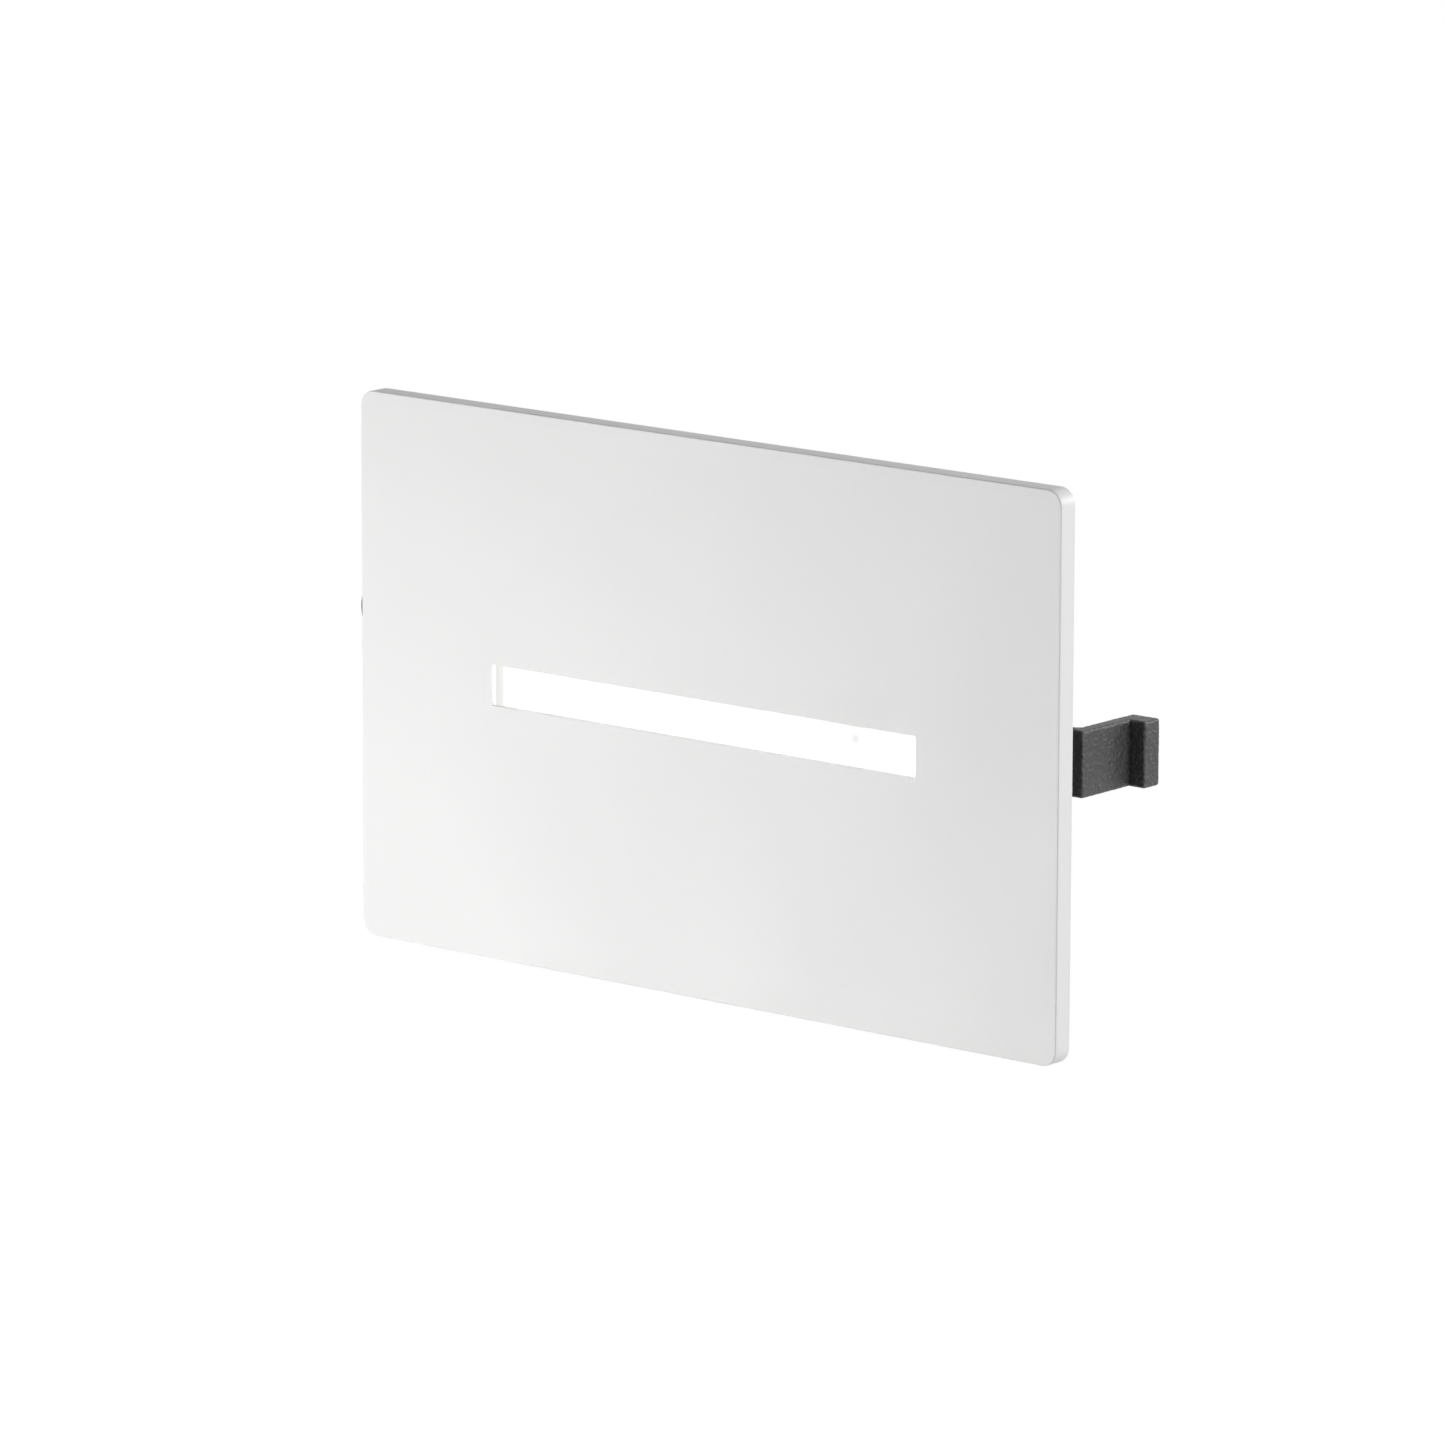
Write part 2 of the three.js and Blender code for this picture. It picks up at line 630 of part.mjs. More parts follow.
// The fuse lies along y, with metal caps a little wider than its middle.
function fuseBody() {
  const { x, radius, length, cap, waist } = fuse;
  const half = length / 2;
  const body = turned([
    [0, -half],
    [radius, -half],
    [radius, cap - half],
    [radius - waist, cap - half],
    [radius - waist, half - cap],
    [radius, half - cap],
    [radius, half],
    [0, half],
  ], screwFacets);
  const mesh = piece('fuse', body, 'nickel');
  mesh.position.set(x, fuseY, partFoot - radius);
  mesh.rotation.x = Math.PI / 2;
  return mesh;
}

// A drum-shaped choke standing on the board.
function chokeBody() {
  const { y, radius, depth, rim, waist } = choke;
  const body = turned([
    [0, -depth],
    [radius, -depth],
    [radius, rim - depth],
    [radius - waist, rim - depth],
    [radius - waist, -rim],
    [radius, -rim],
    [radius, 0],
    [0, 0],
  ]);
  const mesh = piece('choke', body, 'ferrite');
  mesh.position.set(chokeX, y, partFoot);
  return mesh;
}

function terminalBlock() {
  const { y, width, height, depth, entry, entryDepth } = terminal;
  let body = block(grommet.x, y, partFoot - depth, partFoot, width, height);
  const foot = y - height / 2;
  const top = partFoot - depth;
  const hole = terminalScrew.radius + terminalScrew.fit;
  for (const x of terminalPlaces()) {
    body = cut(
      body,
      uprightBar(x, partFoot - depth / 2, foot - overrun, foot + entryDepth, entry, screwFacets),
      bar(x, y, top - overrun, top + terminalScrew.holeDepth, hole),
    );
  }
  return body;
}

function terminalPlaces() {
  return [grommet.x - terminal.pitch / 2, grommet.x + terminal.pitch / 2];
}

function terminalScrews() {
  const { radius, length, slotWidth, slotDepth, holeDepth } = terminalScrew;
  const top = partFoot - terminal.depth + holeDepth - seat;
  return terminalPlaces().map((x, i) => {
    const body = cut(
      bar(0, 0, -length, 0, radius, screwFacets),
      block(0, 0, -length - overrun, slotDepth - length, 2 * radius + overrun, slotWidth),
    );
    const mesh = piece(`terminal_screw_${i + 1}`, body, 'nickel');
    mesh.position.set(x, terminal.y, top);
    return mesh;
  });
}

function rearSealRing() {
  const { wall, corner } = housing;
  const { margin } = rearSeal;
  const outer = roundedOutline(housingWidth - 2 * margin, housingHeight - 2 * margin, corner - margin);
  const inner = roundedOutline(housingWidth - 2 * wall, housingHeight - 2 * wall, corner - wall / 2);
  return cut(
    slab(outer, sealRear, housingRear - seat),
    slab(inner, sealRear - overrun, housingRear + overrun),
  );
}

// The cover has a few low ribs across its back.
function rearCover() {
  let body = slab(roundedOutline(housingWidth, housingHeight, housing.corner), coverRear, coverFront);
  const ribSize = [housingWidth - cover.ribTrim, cover.ribWidth];
  const hole = coverScrew.shank + slip;
  for (let i = 0; i < coverRibCount; i += 1) {
    const y = (i - (coverRibCount - 1) / 2) * cover.ribPitch;
    body = join(body, block(0, y, coverRear - cover.ribHeight, coverRear + seat, ...ribSize));
  }
  for (const [x, y] of mirrored(postX, postY)) {
    body = cut(body, bar(x, y, coverRear - overrun, coverFront + overrun, hole, screwFacets));
  }
  return body;
}

// The rubber grommet in the floor of the box, where the supply cable goes in.
function cableGrommet() {
  const { x, bore, neck, outerRim, innerRim, rimThick } = grommet;
  const outside = -seat;
  const inside = housing.wall + seat;
  const profile = [
    [bore, outside - rimThick],
    [outerRim, outside - rimThick],
    [outerRim, outside],
    [neck, outside],
    [neck, inside],
    [innerRim, inside],
    [innerRim, inside + rimThick],
    [bore, inside + rimThick],
    [bore, outside - rimThick],
  ];
  const points = profile.map(([r, level]) => new THREE.Vector2(r, level));
  const mesh = piece('cable_grommet', solid(new THREE.LatheGeometry(points, roundFacets)), 'foam');
  mesh.position.set(x, -housingHeight / 2, grommetLevel());
  return mesh;
}

// The hook clip: a flange on the frame's back, an arm into the wall and a foot that turns outwards.
function hookClip() {
  const { height, flangeThick, armThick, footStep, footThick } = hook;
  const { headRoom, grip, round, gusset } = hookReach;
  const armInner = hookScrewX + clipScrew.head + headRoom + gusset;
  const armOuter = armInner + armThick;
  const flangeRear = clipFront - flangeThick;
  const footEnd = -grip - footThick;
  const outline = new THREE.Shape();
  outline.moveTo(hookStart, clipFront);
  outline.lineTo(hookStart, flangeRear);
  outline.lineTo(armInner - gusset, flangeRear);
  outline.lineTo(armInner, flangeRear - gusset);
  outline.lineTo(armInner, footEnd);
  outline.lineTo(armOuter + footStep, footEnd);
  outline.lineTo(armOuter + footStep, -grip);
  outline.lineTo(armOuter, -grip);
  outline.lineTo(armOuter, clipFront);
  outline.closePath();
  let body = upright(outline, -height / 2, height / 2, round);
  for (const y of [hookScrewPlace.y, -hookScrewPlace.y]) {
    const hole = clipScrew.shank + slip;
    body = cut(body, bar(hookScrewX, y, flangeRear - overrun, clipFront + overrun, hole, screwFacets));
  }
  return body;
}

// How deep the front face of the resting arm lies at a place left of the pivot.
function armFrontLevel(x) {
  const along = (pivotX - webFront * Math.sin(armAngle) - x) / Math.cos(armAngle);
  return -pivotDepth + webFront * Math.cos(armAngle) - along * Math.sin(armAngle);
}

// The bracket: a base on the frame's back, two ears for the pin, and a lip that stops the arm.
function springBracket() {
  const { thick, flangeHalf, earRadius, earFoot } = bracket;
  const left = pivotX - earFoot - stopLip.reach;
  const rear = clipFront - thick;
  const earRight = pivotX + earFoot;
  const base = new THREE.Shape();
  base.moveTo(left, -stopLip.half);
  base.lineTo(pivotX - earFoot, -earOuter);
  base.lineTo(earRight, -earOuter);
  base.lineTo(earRight, -flangeHalf);
  base.lineTo(bracketStart, -flangeHalf);
  base.lineTo(bracketStart, flangeHalf);
  base.lineTo(earRight, flangeHalf);
  base.lineTo(earRight, earOuter);
  base.lineTo(pivotX - earFoot, earOuter);
  base.lineTo(left, stopLip.half);
  base.closePath();
  let body = slab(base, rear, clipFront);
  const lipRight = left + stopLip.width;
  const lipTop = armFrontLevel(lipRight) + slip / Math.cos(armAngle);
  body = join(body, block(left + stopLip.width / 2, 0, lipTop, clipFront, stopLip.width, 2 * stopLip.half));
  const ear = new THREE.Shape();
  ear.moveTo(pivotX - earFoot, clipFront);
  ear.lineTo(pivotX - earFoot, rear);
  ear.absarc(pivotX, -pivotDepth, earRadius, Math.PI, 2 * Math.PI);
  ear.lineTo(earRight, rear);
  ear.lineTo(earRight, clipFront);
  ear.closePath();
  body = join(body, upright(ear, earInner, earOuter), upright(ear, -earOuter, -earInner));
  for (const y of [bracketScrewPlace.y, -bracketScrewPlace.y]) {
    const hole = clipScrew.shank + slip;
    body = cut(body, bar(bracketScrewX, y, rear - overrun, clipFront + overrun, hole, screwFacets));
  }
  const boreRadius = pin.radius + shankFit;
  return cut(body, uprightBar(pivotX, -pivotDepth, -earOuter - overrun, earOuter + overrun, boreRadius));
}

// The riveted pin, along y through the pivot.
function hingePin() {
  const top = earOuter + shankFit;
  const points = [
    [0, -top - pin.end],
    [pin.endRadius, -top - pin.end],
    [pin.endRadius, -top],
    [pin.radius, -top],
    [pin.radius, top],
    [pin.headRadius, top],
    [pin.headRadius, top + pin.head],
    [0, top + pin.head],
  ].map(([r, level]) => new THREE.Vector2(r, level));
  return piece('hinge_pin', solid(new THREE.LatheGeometry(points, roundFacets)), 'zincSteel');
}

// The arm, drawn along -x from the pin, with its web on the room side of the pin.
function springArm() {
  const { length, lugInner, lugRadius } = arm;
  const { start, lugLength, taperEnd, half, tailHalf, tailShort } = armWeb;
  const tailStart = length - tip.length - slip;
  const web = new THREE.Shape();
  web.moveTo(-start, -lugOuter);
  web.lineTo(-start, lugOuter);
  web.lineTo(-lugLength, lugOuter);
  web.lineTo(-taperEnd, half);
  web.lineTo(slip - tailStart, half);
  web.lineTo(-tailStart, tailHalf);
  web.lineTo(tailShort + tailHalf - length, tailHalf);
  web.absarc(tailShort + tailHalf - length, 0, tailHalf, Math.PI / 2, 1.5 * Math.PI);
  web.lineTo(-tailStart, -tailHalf);
  web.lineTo(slip - tailStart, -half);
  web.lineTo(-taperEnd, -half);
  web.lineTo(-lugLength, -lugOuter);
  web.closePath();
  const lug = new THREE.Shape();
  const turn = THREE.MathUtils.degToRad(lugTurn);
  lug.moveTo(-start, webFront);
  lug.lineTo(-lugLength, webFront);
  lug.lineTo(-lugLength, webRear);
  lug.absarc(0, 0, lugRadius, Math.PI + turn, 2 * Math.PI + turn);
  lug.closePath();
  const bore = uprightBar(0, 0, -lugOuter - overrun, lugOuter + overrun, pin.radius + shankFit);
  const body = join(
    slab(web, webRear, webFront, 0, halfTurnSteps),
    upright(lug, lugInner, lugOuter),
    upright(lug, -lugOuter, -lugInner),
  );
  return piece('spring_arm', cut(body, bore), 'blackSteel');
}

// The rubber tip that is pushed over the end of the arm.
function armTip() {
  const { length, sideWall, faceWall, round } = tip;
  const half = armWeb.tailHalf + slip + sideWall;
  const thick = arm.thick + 2 * (slip + faceWall);
  const middle = (webRear + webFront) / 2;
  const outline = new THREE.Shape();
  outline.moveTo(length - arm.length, -half);
  outline.lineTo(length - arm.length, half);
  outline.absarc(half - arm.length, 0, half, Math.PI / 2, 1.5 * Math.PI);
  outline.closePath();
  const inner = armWeb.tailHalf + slip;
  const end = armWeb.tailShort - slip - arm.length;
  const pocket = new THREE.Shape();
  pocket.moveTo(length - arm.length + overrun, -inner);
  pocket.lineTo(length - arm.length + overrun, inner);
  pocket.absarc(end + inner, 0, inner, Math.PI / 2, 1.5 * Math.PI);
  pocket.closePath();
  const body = cut(
    slab(outline, middle - thick / 2, middle + thick / 2, round, halfTurnSteps),
    slab(pocket, webRear - slip, webFront + slip, 0, halfTurnSteps),
  );
  return piece('arm_tip', body, 'tipRubber');
}

// The route of the spring's wire about the pin, in the arm's own directions: out along the arm at
// its high end, and along the bracket at its low end.
function springRoute() {
  const { coilRadius, pitch, lowLeg, highLeg, radius } = wire;
  const reach = pivotDepth + clipFront - bracket.thick - wire.seatGap - radius;
  const lean = Math.atan2(lowLeg, coilRadius) - Math.acos(reach / Math.hypot(coilRadius, lowLeg));
  const begin = Math.PI / 2 + lean - armAngle;
  const finish = Math.PI / 2 + 2 * Math.PI * springTurns;
  const steps = curlSteps * springTurns;
  const rise = pitch * (finish - begin) / (2 * Math.PI);
  const points = [];
  const onCoil = (angle, y) => {
    return new THREE.Vector3(coilRadius * Math.cos(angle), y, coilRadius * Math.sin(angle));
  };
  const first = onCoil(begin, -rise / 2);
  const last = onCoil(finish, rise / 2);
  const footWay = new THREE.Vector3(Math.sin(begin), 0, -Math.cos(begin));
  const armWay = new THREE.Vector3(-Math.sin(finish), 0, Math.cos(finish));
  points.push(first.clone().addScaledVector(footWay, lowLeg));
  points.push(first.clone().addScaledVector(footWay, lowLeg - 2 * radius));
  for (let i = 0; i <= steps; i += 1) {
    const share = i / steps;
    points.push(onCoil(begin + (finish - begin) * share, rise * (share - 1 / 2)));
  }
  points.push(last.clone().addScaledVector(armWay, highLeg - 2 * radius));
  points.push(last.clone().addScaledVector(armWay, highLeg));
  return points;
}

// The least gap between stretches of the wire that aren't next to each other.
function leastWireGap(points) {
  let least = Infinity;
  const apart = Math.PI * wire.coilRadius;
  const curve = new THREE.CatmullRomCurve3(points, false, 'centripetal');
  const dense = curve.getSpacedPoints(gapSamples * springTurns);
  const step = dense[0].distanceTo(dense[1]);
  for (let i = 0; i < dense.length; i += 1) {
    for (let j = i + Math.ceil(apart / step); j < dense.length; j += 1) {
      least = Math.min(least, dense[i].distanceTo(dense[j]) - 2 * wire.radius);
    }
  }
  return least;
}

// A tube through the points, with flat closed ends.
function wireTube(points, radius, sides) {
  const rings = points.length;
  const positions = [];
  const indices = [];
  const up = new THREE.Vector3(0, 1, 0);
  points.forEach((point, i) => {
    const before = points[Math.max(i - 1, 0)];
    const after = points[Math.min(i + 1, rings - 1)];
    const way = after.clone().sub(before).normalize();
    const across = new THREE.Vector3().crossVectors(way, up).normalize();
    const over = new THREE.Vector3().crossVectors(across, way);
    for (let k = 0; k < sides; k += 1) {
      const turn = 2 * Math.PI * k / sides;
      const place = point.clone()
        .addScaledVector(across, radius * Math.cos(turn))
        .addScaledVector(over, radius * Math.sin(turn));
      positions.push(place.x, place.y, place.z);
    }
  });
  for (let i = 0; i < rings - 1; i += 1) {
    for (let k = 0; k < sides; k += 1) {
      const a = i * sides + k;
      const b = i * sides + (k + 1) % sides;
      indices.push(a, a + sides, b, b, a + sides, b + sides);
    }
  }
  const end = (rings - 1) * sides;
  for (let k = 1; k < sides - 1; k += 1) {
    indices.push(0, k, k + 1);
    indices.push(end, end + k + 1, end + k);
  }
  const geometry = new THREE.BufferGeometry();
  geometry.setAttribute('position', new THREE.Float32BufferAttribute(positions, 3));
  geometry.setIndex(indices);
  return geometry;
}

function torsionSpring() {
  const points = springRoute();
  console.log(`torsion spring: least gap between turns ${leastWireGap(points).toFixed(2)} mm`);
  const geometry = wireTube(points, wire.radius, wireSides);
  geometry.computeVertexNormals();
  return piece('torsion_spring', geometry, 'springSteel');
}

function frontAssembly() {
  const group = new THREE.Group();
  group.add(
    piece('face_plate', facePlate(), 'whiteCoat'),
    piece('face_gasket', faceGasket(), 'foam'),
    piece('diffuser_lens', diffuserLens(), 'opal'),
    piece('lens_seal', lensSealRing(), 'silicone'),
    piece('back_frame', backFrame(), 'castAlloy'),
    ...screws('plate_screw', plateScrew, mirrored(plateBossX, plateBossY), frameRear - seat, true),
  );
  return group;
}

function lightRow() {
  const group = new THREE.Group();
  const sensorMesh = piece('light_sensor', sensorBody(), 'sensorDark');
  sensorMesh.position.set(sensorX, 0, ledBoardFront + seat / 2);
  const leadTop = ledBoardFront + chip.thick / 2;
  const leadBody = block(0, 0, boardFront + seat, leadTop, lead.width, lead.thick);
  group.add(
    piece('reflector', reflectorBody(), 'whitePlastic'),
    piece('led_board', troughStrip(ledBoard.trim, ledBoardRear, ledBoardFront), 'boardWhite'),
    piece('thermal_pad', troughStrip(pad.trim, padRear, ledBoardRear - seat), 'padGrey'),
    ...lightChips(),
    sensorMesh,
    ...screws('led_board_screw', ledScrew, ledScrewPlaces().map((x) => [x, 0]), ledBoardFront + seat, false),
    piece('led_lead', leadBody, 'leadWhite'),
  );
  return group;
}

function driverBox() {
  const group = new THREE.Group();
  group.add(
    piece('driver_housing', driverHousing(), 'boxPlastic'),
    ...screws('housing_screw', housingScrew, mirrored(columnX, columnY), frameFloor + seat, false),
    piece('driver_board', driverBoard(), 'boardGreen'),
    ...screws('board_screw', boardScrew, boardScrewPlaces(), boardRear - seat, true),
    piece('transformer_core', transformerCore(), 'ferrite'),
    transformerWinding(),
    bulkCapacitor(),
    filmCapacitor(),
    bridgeRectifier(),
    fuseBody(),
    chokeBody(),
    piece('terminal_block', terminalBlock(), 'terminalGreen'),
    ...terminalScrews(),
    piece('rear_gasket', rearSealRing(), 'foam'),
    piece('rear_cover', rearCover(), 'boxPlastic'),
    ...screws('cover_screw', coverScrew, mirrored(postX, postY), coverRear - seat, true),
    cableGrommet(),
  );
  return group;
}

function rightClip() {
  const places = [[hookScrewX, hookScrewPlace.y], [hookScrewX, -hookScrewPlace.y]];
  const group = new THREE.Group();
  group.add(
    piece('hook_clip', hookClip(), 'hookBlack'),
    ...screws('hook_screw', clipScrew, places, clipFront - hook.flangeThick - seat, true),
  );
  return group;
}

function leftClip() {
  const places = [[bracketScrewX, bracketScrewPlace.y], [bracketScrewX, -bracketScrewPlace.y]];
  const group = new THREE.Group();
  const atPin = new THREE.Group();
  atPin.position.set(pivotX, 0, -pivotDepth);
  const turnedArm = new THREE.Group();
  turnedArm.rotation.y = -armAngle;
  turnedArm.add(springArm(), armTip(), torsionSpring());
  atPin.add(hingePin(), turnedArm);
  group.add(
    piece('spring_bracket', springBracket(), 'zincSteel'),
    ...screws('bracket_screw', clipScrew, places, clipFront - bracket.thick - seat, true),
    atPin,
  );
  return group;
}

const stepLight = new THREE.Group();
stepLight.name = 'step_light';
stepLight.rotation.x = Math.PI / 2;
stepLight.add(frontAssembly(), lightRow(), driverBox(), rightClip(), leftClip());

export default stepLight;
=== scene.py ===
import math

import bmesh
import bpy
from mathutils import Matrix, Vector


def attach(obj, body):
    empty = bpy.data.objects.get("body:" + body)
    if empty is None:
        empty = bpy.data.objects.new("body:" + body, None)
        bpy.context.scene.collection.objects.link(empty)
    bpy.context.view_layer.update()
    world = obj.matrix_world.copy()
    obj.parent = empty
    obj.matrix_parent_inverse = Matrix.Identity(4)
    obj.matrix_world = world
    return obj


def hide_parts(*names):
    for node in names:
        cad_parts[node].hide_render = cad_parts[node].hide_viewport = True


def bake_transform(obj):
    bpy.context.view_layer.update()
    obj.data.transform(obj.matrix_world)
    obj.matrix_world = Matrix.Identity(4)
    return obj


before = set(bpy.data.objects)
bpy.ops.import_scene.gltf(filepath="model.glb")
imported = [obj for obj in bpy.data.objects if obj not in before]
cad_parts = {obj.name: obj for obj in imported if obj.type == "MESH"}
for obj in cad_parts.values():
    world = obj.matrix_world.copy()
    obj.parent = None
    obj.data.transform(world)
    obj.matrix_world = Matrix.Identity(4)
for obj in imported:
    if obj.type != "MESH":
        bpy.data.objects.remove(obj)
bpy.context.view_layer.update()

# A recessed step light. Pieces are drawn in millimetres in the frame's own directions: x to the
# right, y into the wall with the wall's surface at 0, z up. They become metres when finished.
mm = 0.001
overrun = 2.0  # how far a cutting body reaches past what it cuts
weldReach = 0.002  # points nearer than this become one
planeReach = 0.001  # a point this near to a cutting plane lies on it
flatAngle = 1  # faces that turn less than this are one flat face
straightAngle = 12  # an outline that turns less than this isn't rounded
sideLimit = 2.05  # a rounded corner takes up less than half of each side
sharpAngle = 38  # edges that turn more than this stay sharp
scene = bpy.context.scene


# Drawing

def objectFrom(shape):
    bmesh.ops.recalc_face_normals(shape, faces=shape.faces)
    mesh = bpy.data.meshes.new("piece")
    shape.to_mesh(mesh)
    shape.free()
    made = bpy.data.objects.new("piece", mesh)
    scene.collection.objects.link(made)
    return made


def bake(body):
    # the evaluated shape becomes a plain mesh, and the modifiers go
    graph = bpy.context.evaluated_depsgraph_get()
    mesh = bpy.data.meshes.new_from_object(body.evaluated_get(graph))
    body.modifiers.clear()
    body.data = mesh
    return body


def mirrored(x, z):
    return [(x, z), (-x, z), (-x, -z), (x, -z)]


def shrunk(size, inset):
    return size[0] - 2 * inset, size[1] - 2 * inset


def eased(points, radius, closed=True, steps=4):
    # rounds the corners of an outline
    made = []
    count = len(points)
    for i, point in enumerate(points):
        here = Vector(point)
        before = Vector(points[i - 1]) - here
        after = Vector(points[(i + 1) % count]) - here
        isEnd = not closed and i in (0, count - 1)
        if isEnd or before.angle(-after) < math.radians(straightAngle):
            made.append(tuple(point))
            continue
        reach = min(radius, before.length / sideLimit, after.length / sideLimit)
        start = here + before.normalized() * reach
        end = here + after.normalized() * reach
        for k in range(steps + 1):
            t = k / steps
            made.append(tuple(start * (1 - t) ** 2 + here * 2 * t * (1 - t) + end * t ** 2))
    return made


def arc(x, y, radius, start, end, steps):
    turns = [math.radians(start + (end - start) * i / steps) for i in range(steps + 1)]
    return [(x + radius * math.cos(t), y + radius * math.sin(t)) for t in turns]


def roundedLoop(size, corner, steps=10):
    x, z = size[0] / 2 - corner, size[1] / 2 - corner
    points = []
    for k, (sideX, sideZ) in enumerate(mirrored(1, 1)):
        points += arc(sideX * x, sideZ * z, corner, 90 * k, 90 * k + 90, steps)
    return points


def laid(a, b, level, along):
    return (a, level, b) if along == "y" else (a, b, level)


def stacked(loops, levels, along="y"):
    # a closed body through loops of equal length, each at its own depth
    shape = bmesh.new()
    rings = []
    for loop, level in zip(loops, levels):
        rings.append([shape.verts.new(laid(a, b, level, along)) for a, b in loop])
    for low, high in zip(rings, rings[1:]):
        for i in range(len(low)):
            j = (i + 1) % len(low)
            shape.faces.new((low[i], low[j], high[j], high[i]))
    shape.faces.new(rings[0])
    shape.faces.new(rings[-1][::-1])
    return objectFrom(shape)


def prism(outline, low, high, along="y"):
    return stacked([outline, outline], (low, high), along)


def rim(radius, steps):
    # how far in and how far up each loop of a rounded rim lies
    if not radius:
        return [(0.0, 0.0)]
    turns = [math.pi / 2 * k / steps for k in range(steps + 1)]
    return [(radius * (1 - math.sin(t)), radius * (1 - math.cos(t))) for t in turns]


def slab(size, corner, low, high, edge=0.0, backEdge=None, edgeSteps=4, steps=10):
    # a plate with round corners and rounded rims, standing across the depth
    front = rim(edge, edgeSteps)
    back = front if backEdge is None else rim(backEdge, edgeSteps)
    levels = [low + rise for inset, rise in front] + [high - rise for inset, rise in back[::-1]]
    loops = [roundedLoop(shrunk(size, inset), corner - inset, steps)
             for inset, rise in front + back[::-1]]
    return stacked(loops, levels)


def block(x, z, low, high, width, height):
    a, b = width / 2, height / 2
    return prism([(x - a, z - b), (x + a, z - b), (x + a, z + b), (x - a, z + b)], low, high)


def turned(profile, centre, along="y", sides=40):
    # pairs of radius and level, from the axis to the axis, or back to the first pair for a ring
    shape = bmesh.new()
    hollow = profile[0] == profile[-1]
    rings = []
    for radius, level in profile[:-1] if hollow else profile:
        ring = []
        for i in range(sides if radius else 1):
            turn = 2 * math.pi * i / sides
            a, b = centre[0] + radius * math.cos(turn), centre[1] + radius * math.sin(turn)
            ring.append(shape.verts.new(laid(a, b, level, along)))
        rings.append(ring)
    pairs = list(zip(rings, rings[1:]))
    if hollow:
        pairs.append((rings[-1], rings[0]))
    for low, high in pairs:
        for i in range(sides):
            j = (i + 1) % sides
            around = [low[i % len(low)], low[j % len(low)], high[j % len(high)], high[i % len(high)]]
            corners = list(dict.fromkeys(around))
            if len(corners) > 2:
                shape.faces.new(corners)
    return objectFrom(shape)


def bars(centres, low, high, radius, along="y", sides=32):
    profile = [(0, low), (radius, low), (radius, high), (0, high)]
    return [turned(profile, centre, along, sides) for centre in centres]


def combine(body, others, operation):
    for other in others:
        change = body.modifiers.new("change", "BOOLEAN")
        change.operation = operation
        change.solver = "MANIFOLD"
        change.object = other
    bake(body)
    for other in others:
        bpy.data.objects.remove(other)
    return body


def cut(body, *others):
    return combine(body, others, "DIFFERENCE")


def join(body, *others):
    return combine(body, others, "UNION")


def wholeFaces(body):
    # the body's shape to edit, with each flat face in one
    shape = bmesh.new()
    shape.from_mesh(body.data)
    bmesh.ops.remove_doubles(shape, verts=shape.verts, dist=weldReach)
    bmesh.ops.dissolve_limit(
        shape, angle_limit=math.radians(flatAngle), verts=shape.verts, edges=shape.edges)
    return shape


def soften(body, width, segments=2, angle=40):
    # rounds the outer edges
    shape = wholeFaces(body)
    weight = shape.edges.layers.float.new("bevel_weight_edge")
    for line in shape.edges:
        if line.is_manifold and line.is_convex and line.calc_face_angle() > math.radians(angle):
            line[weight] = 1.0
    shape.to_mesh(body.data)
    shape.free()
    edge = body.modifiers.new("edge", "BEVEL")
    edge.width = width
    edge.segments = segments
    edge.limit_method = "WEIGHT"
    return bake(body)


def gridded(body, pitch):
    # cuts the faces into a fine even grid and keeps their corners
    shape = wholeFaces(body)
    for axis in (2, 1, 0):
        spots = [vert.co[axis] for vert in shape.verts]
        low, high = min(spots), max(spots)
        count = round((high - low) / pitch)
        way = Vector([float(axis == k) for k in range(3)])
        for i in range(1, count):
            bmesh.ops.bisect_plane(
                shape, geom=shape.verts[:] + shape.edges[:] + shape.faces[:], dist=planeReach,
                plane_co=way * (low + (high - low) * i / count), plane_no=way)
    shape.to_mesh(body.data)
    shape.free()
    return body


def finished(body, name, coat, slot, *stands, rides="base", sharp=sharpAngle):
    # to metres, shaded smooth up to its sharp edges, hung on its body's empty when it rides one, and
    # the CAD solids it stands for hidden
    body.name = body.data.name = name
    body.data.transform(Matrix.Scale(mm, 4))
    body.data.materials.clear()
    body.data.materials.append(finishes[coat])
    for face in body.data.polygons:
        face.use_smooth = True
    body.data.set_sharp_from_angle(angle=math.radians(sharp))
    even = body.modifiers.new("even", "WEIGHTED_NORMAL")
    even.keep_sharp = True
    bake(body)
    if rides:
        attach(body, rides)
    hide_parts(*stands)


# Node trees

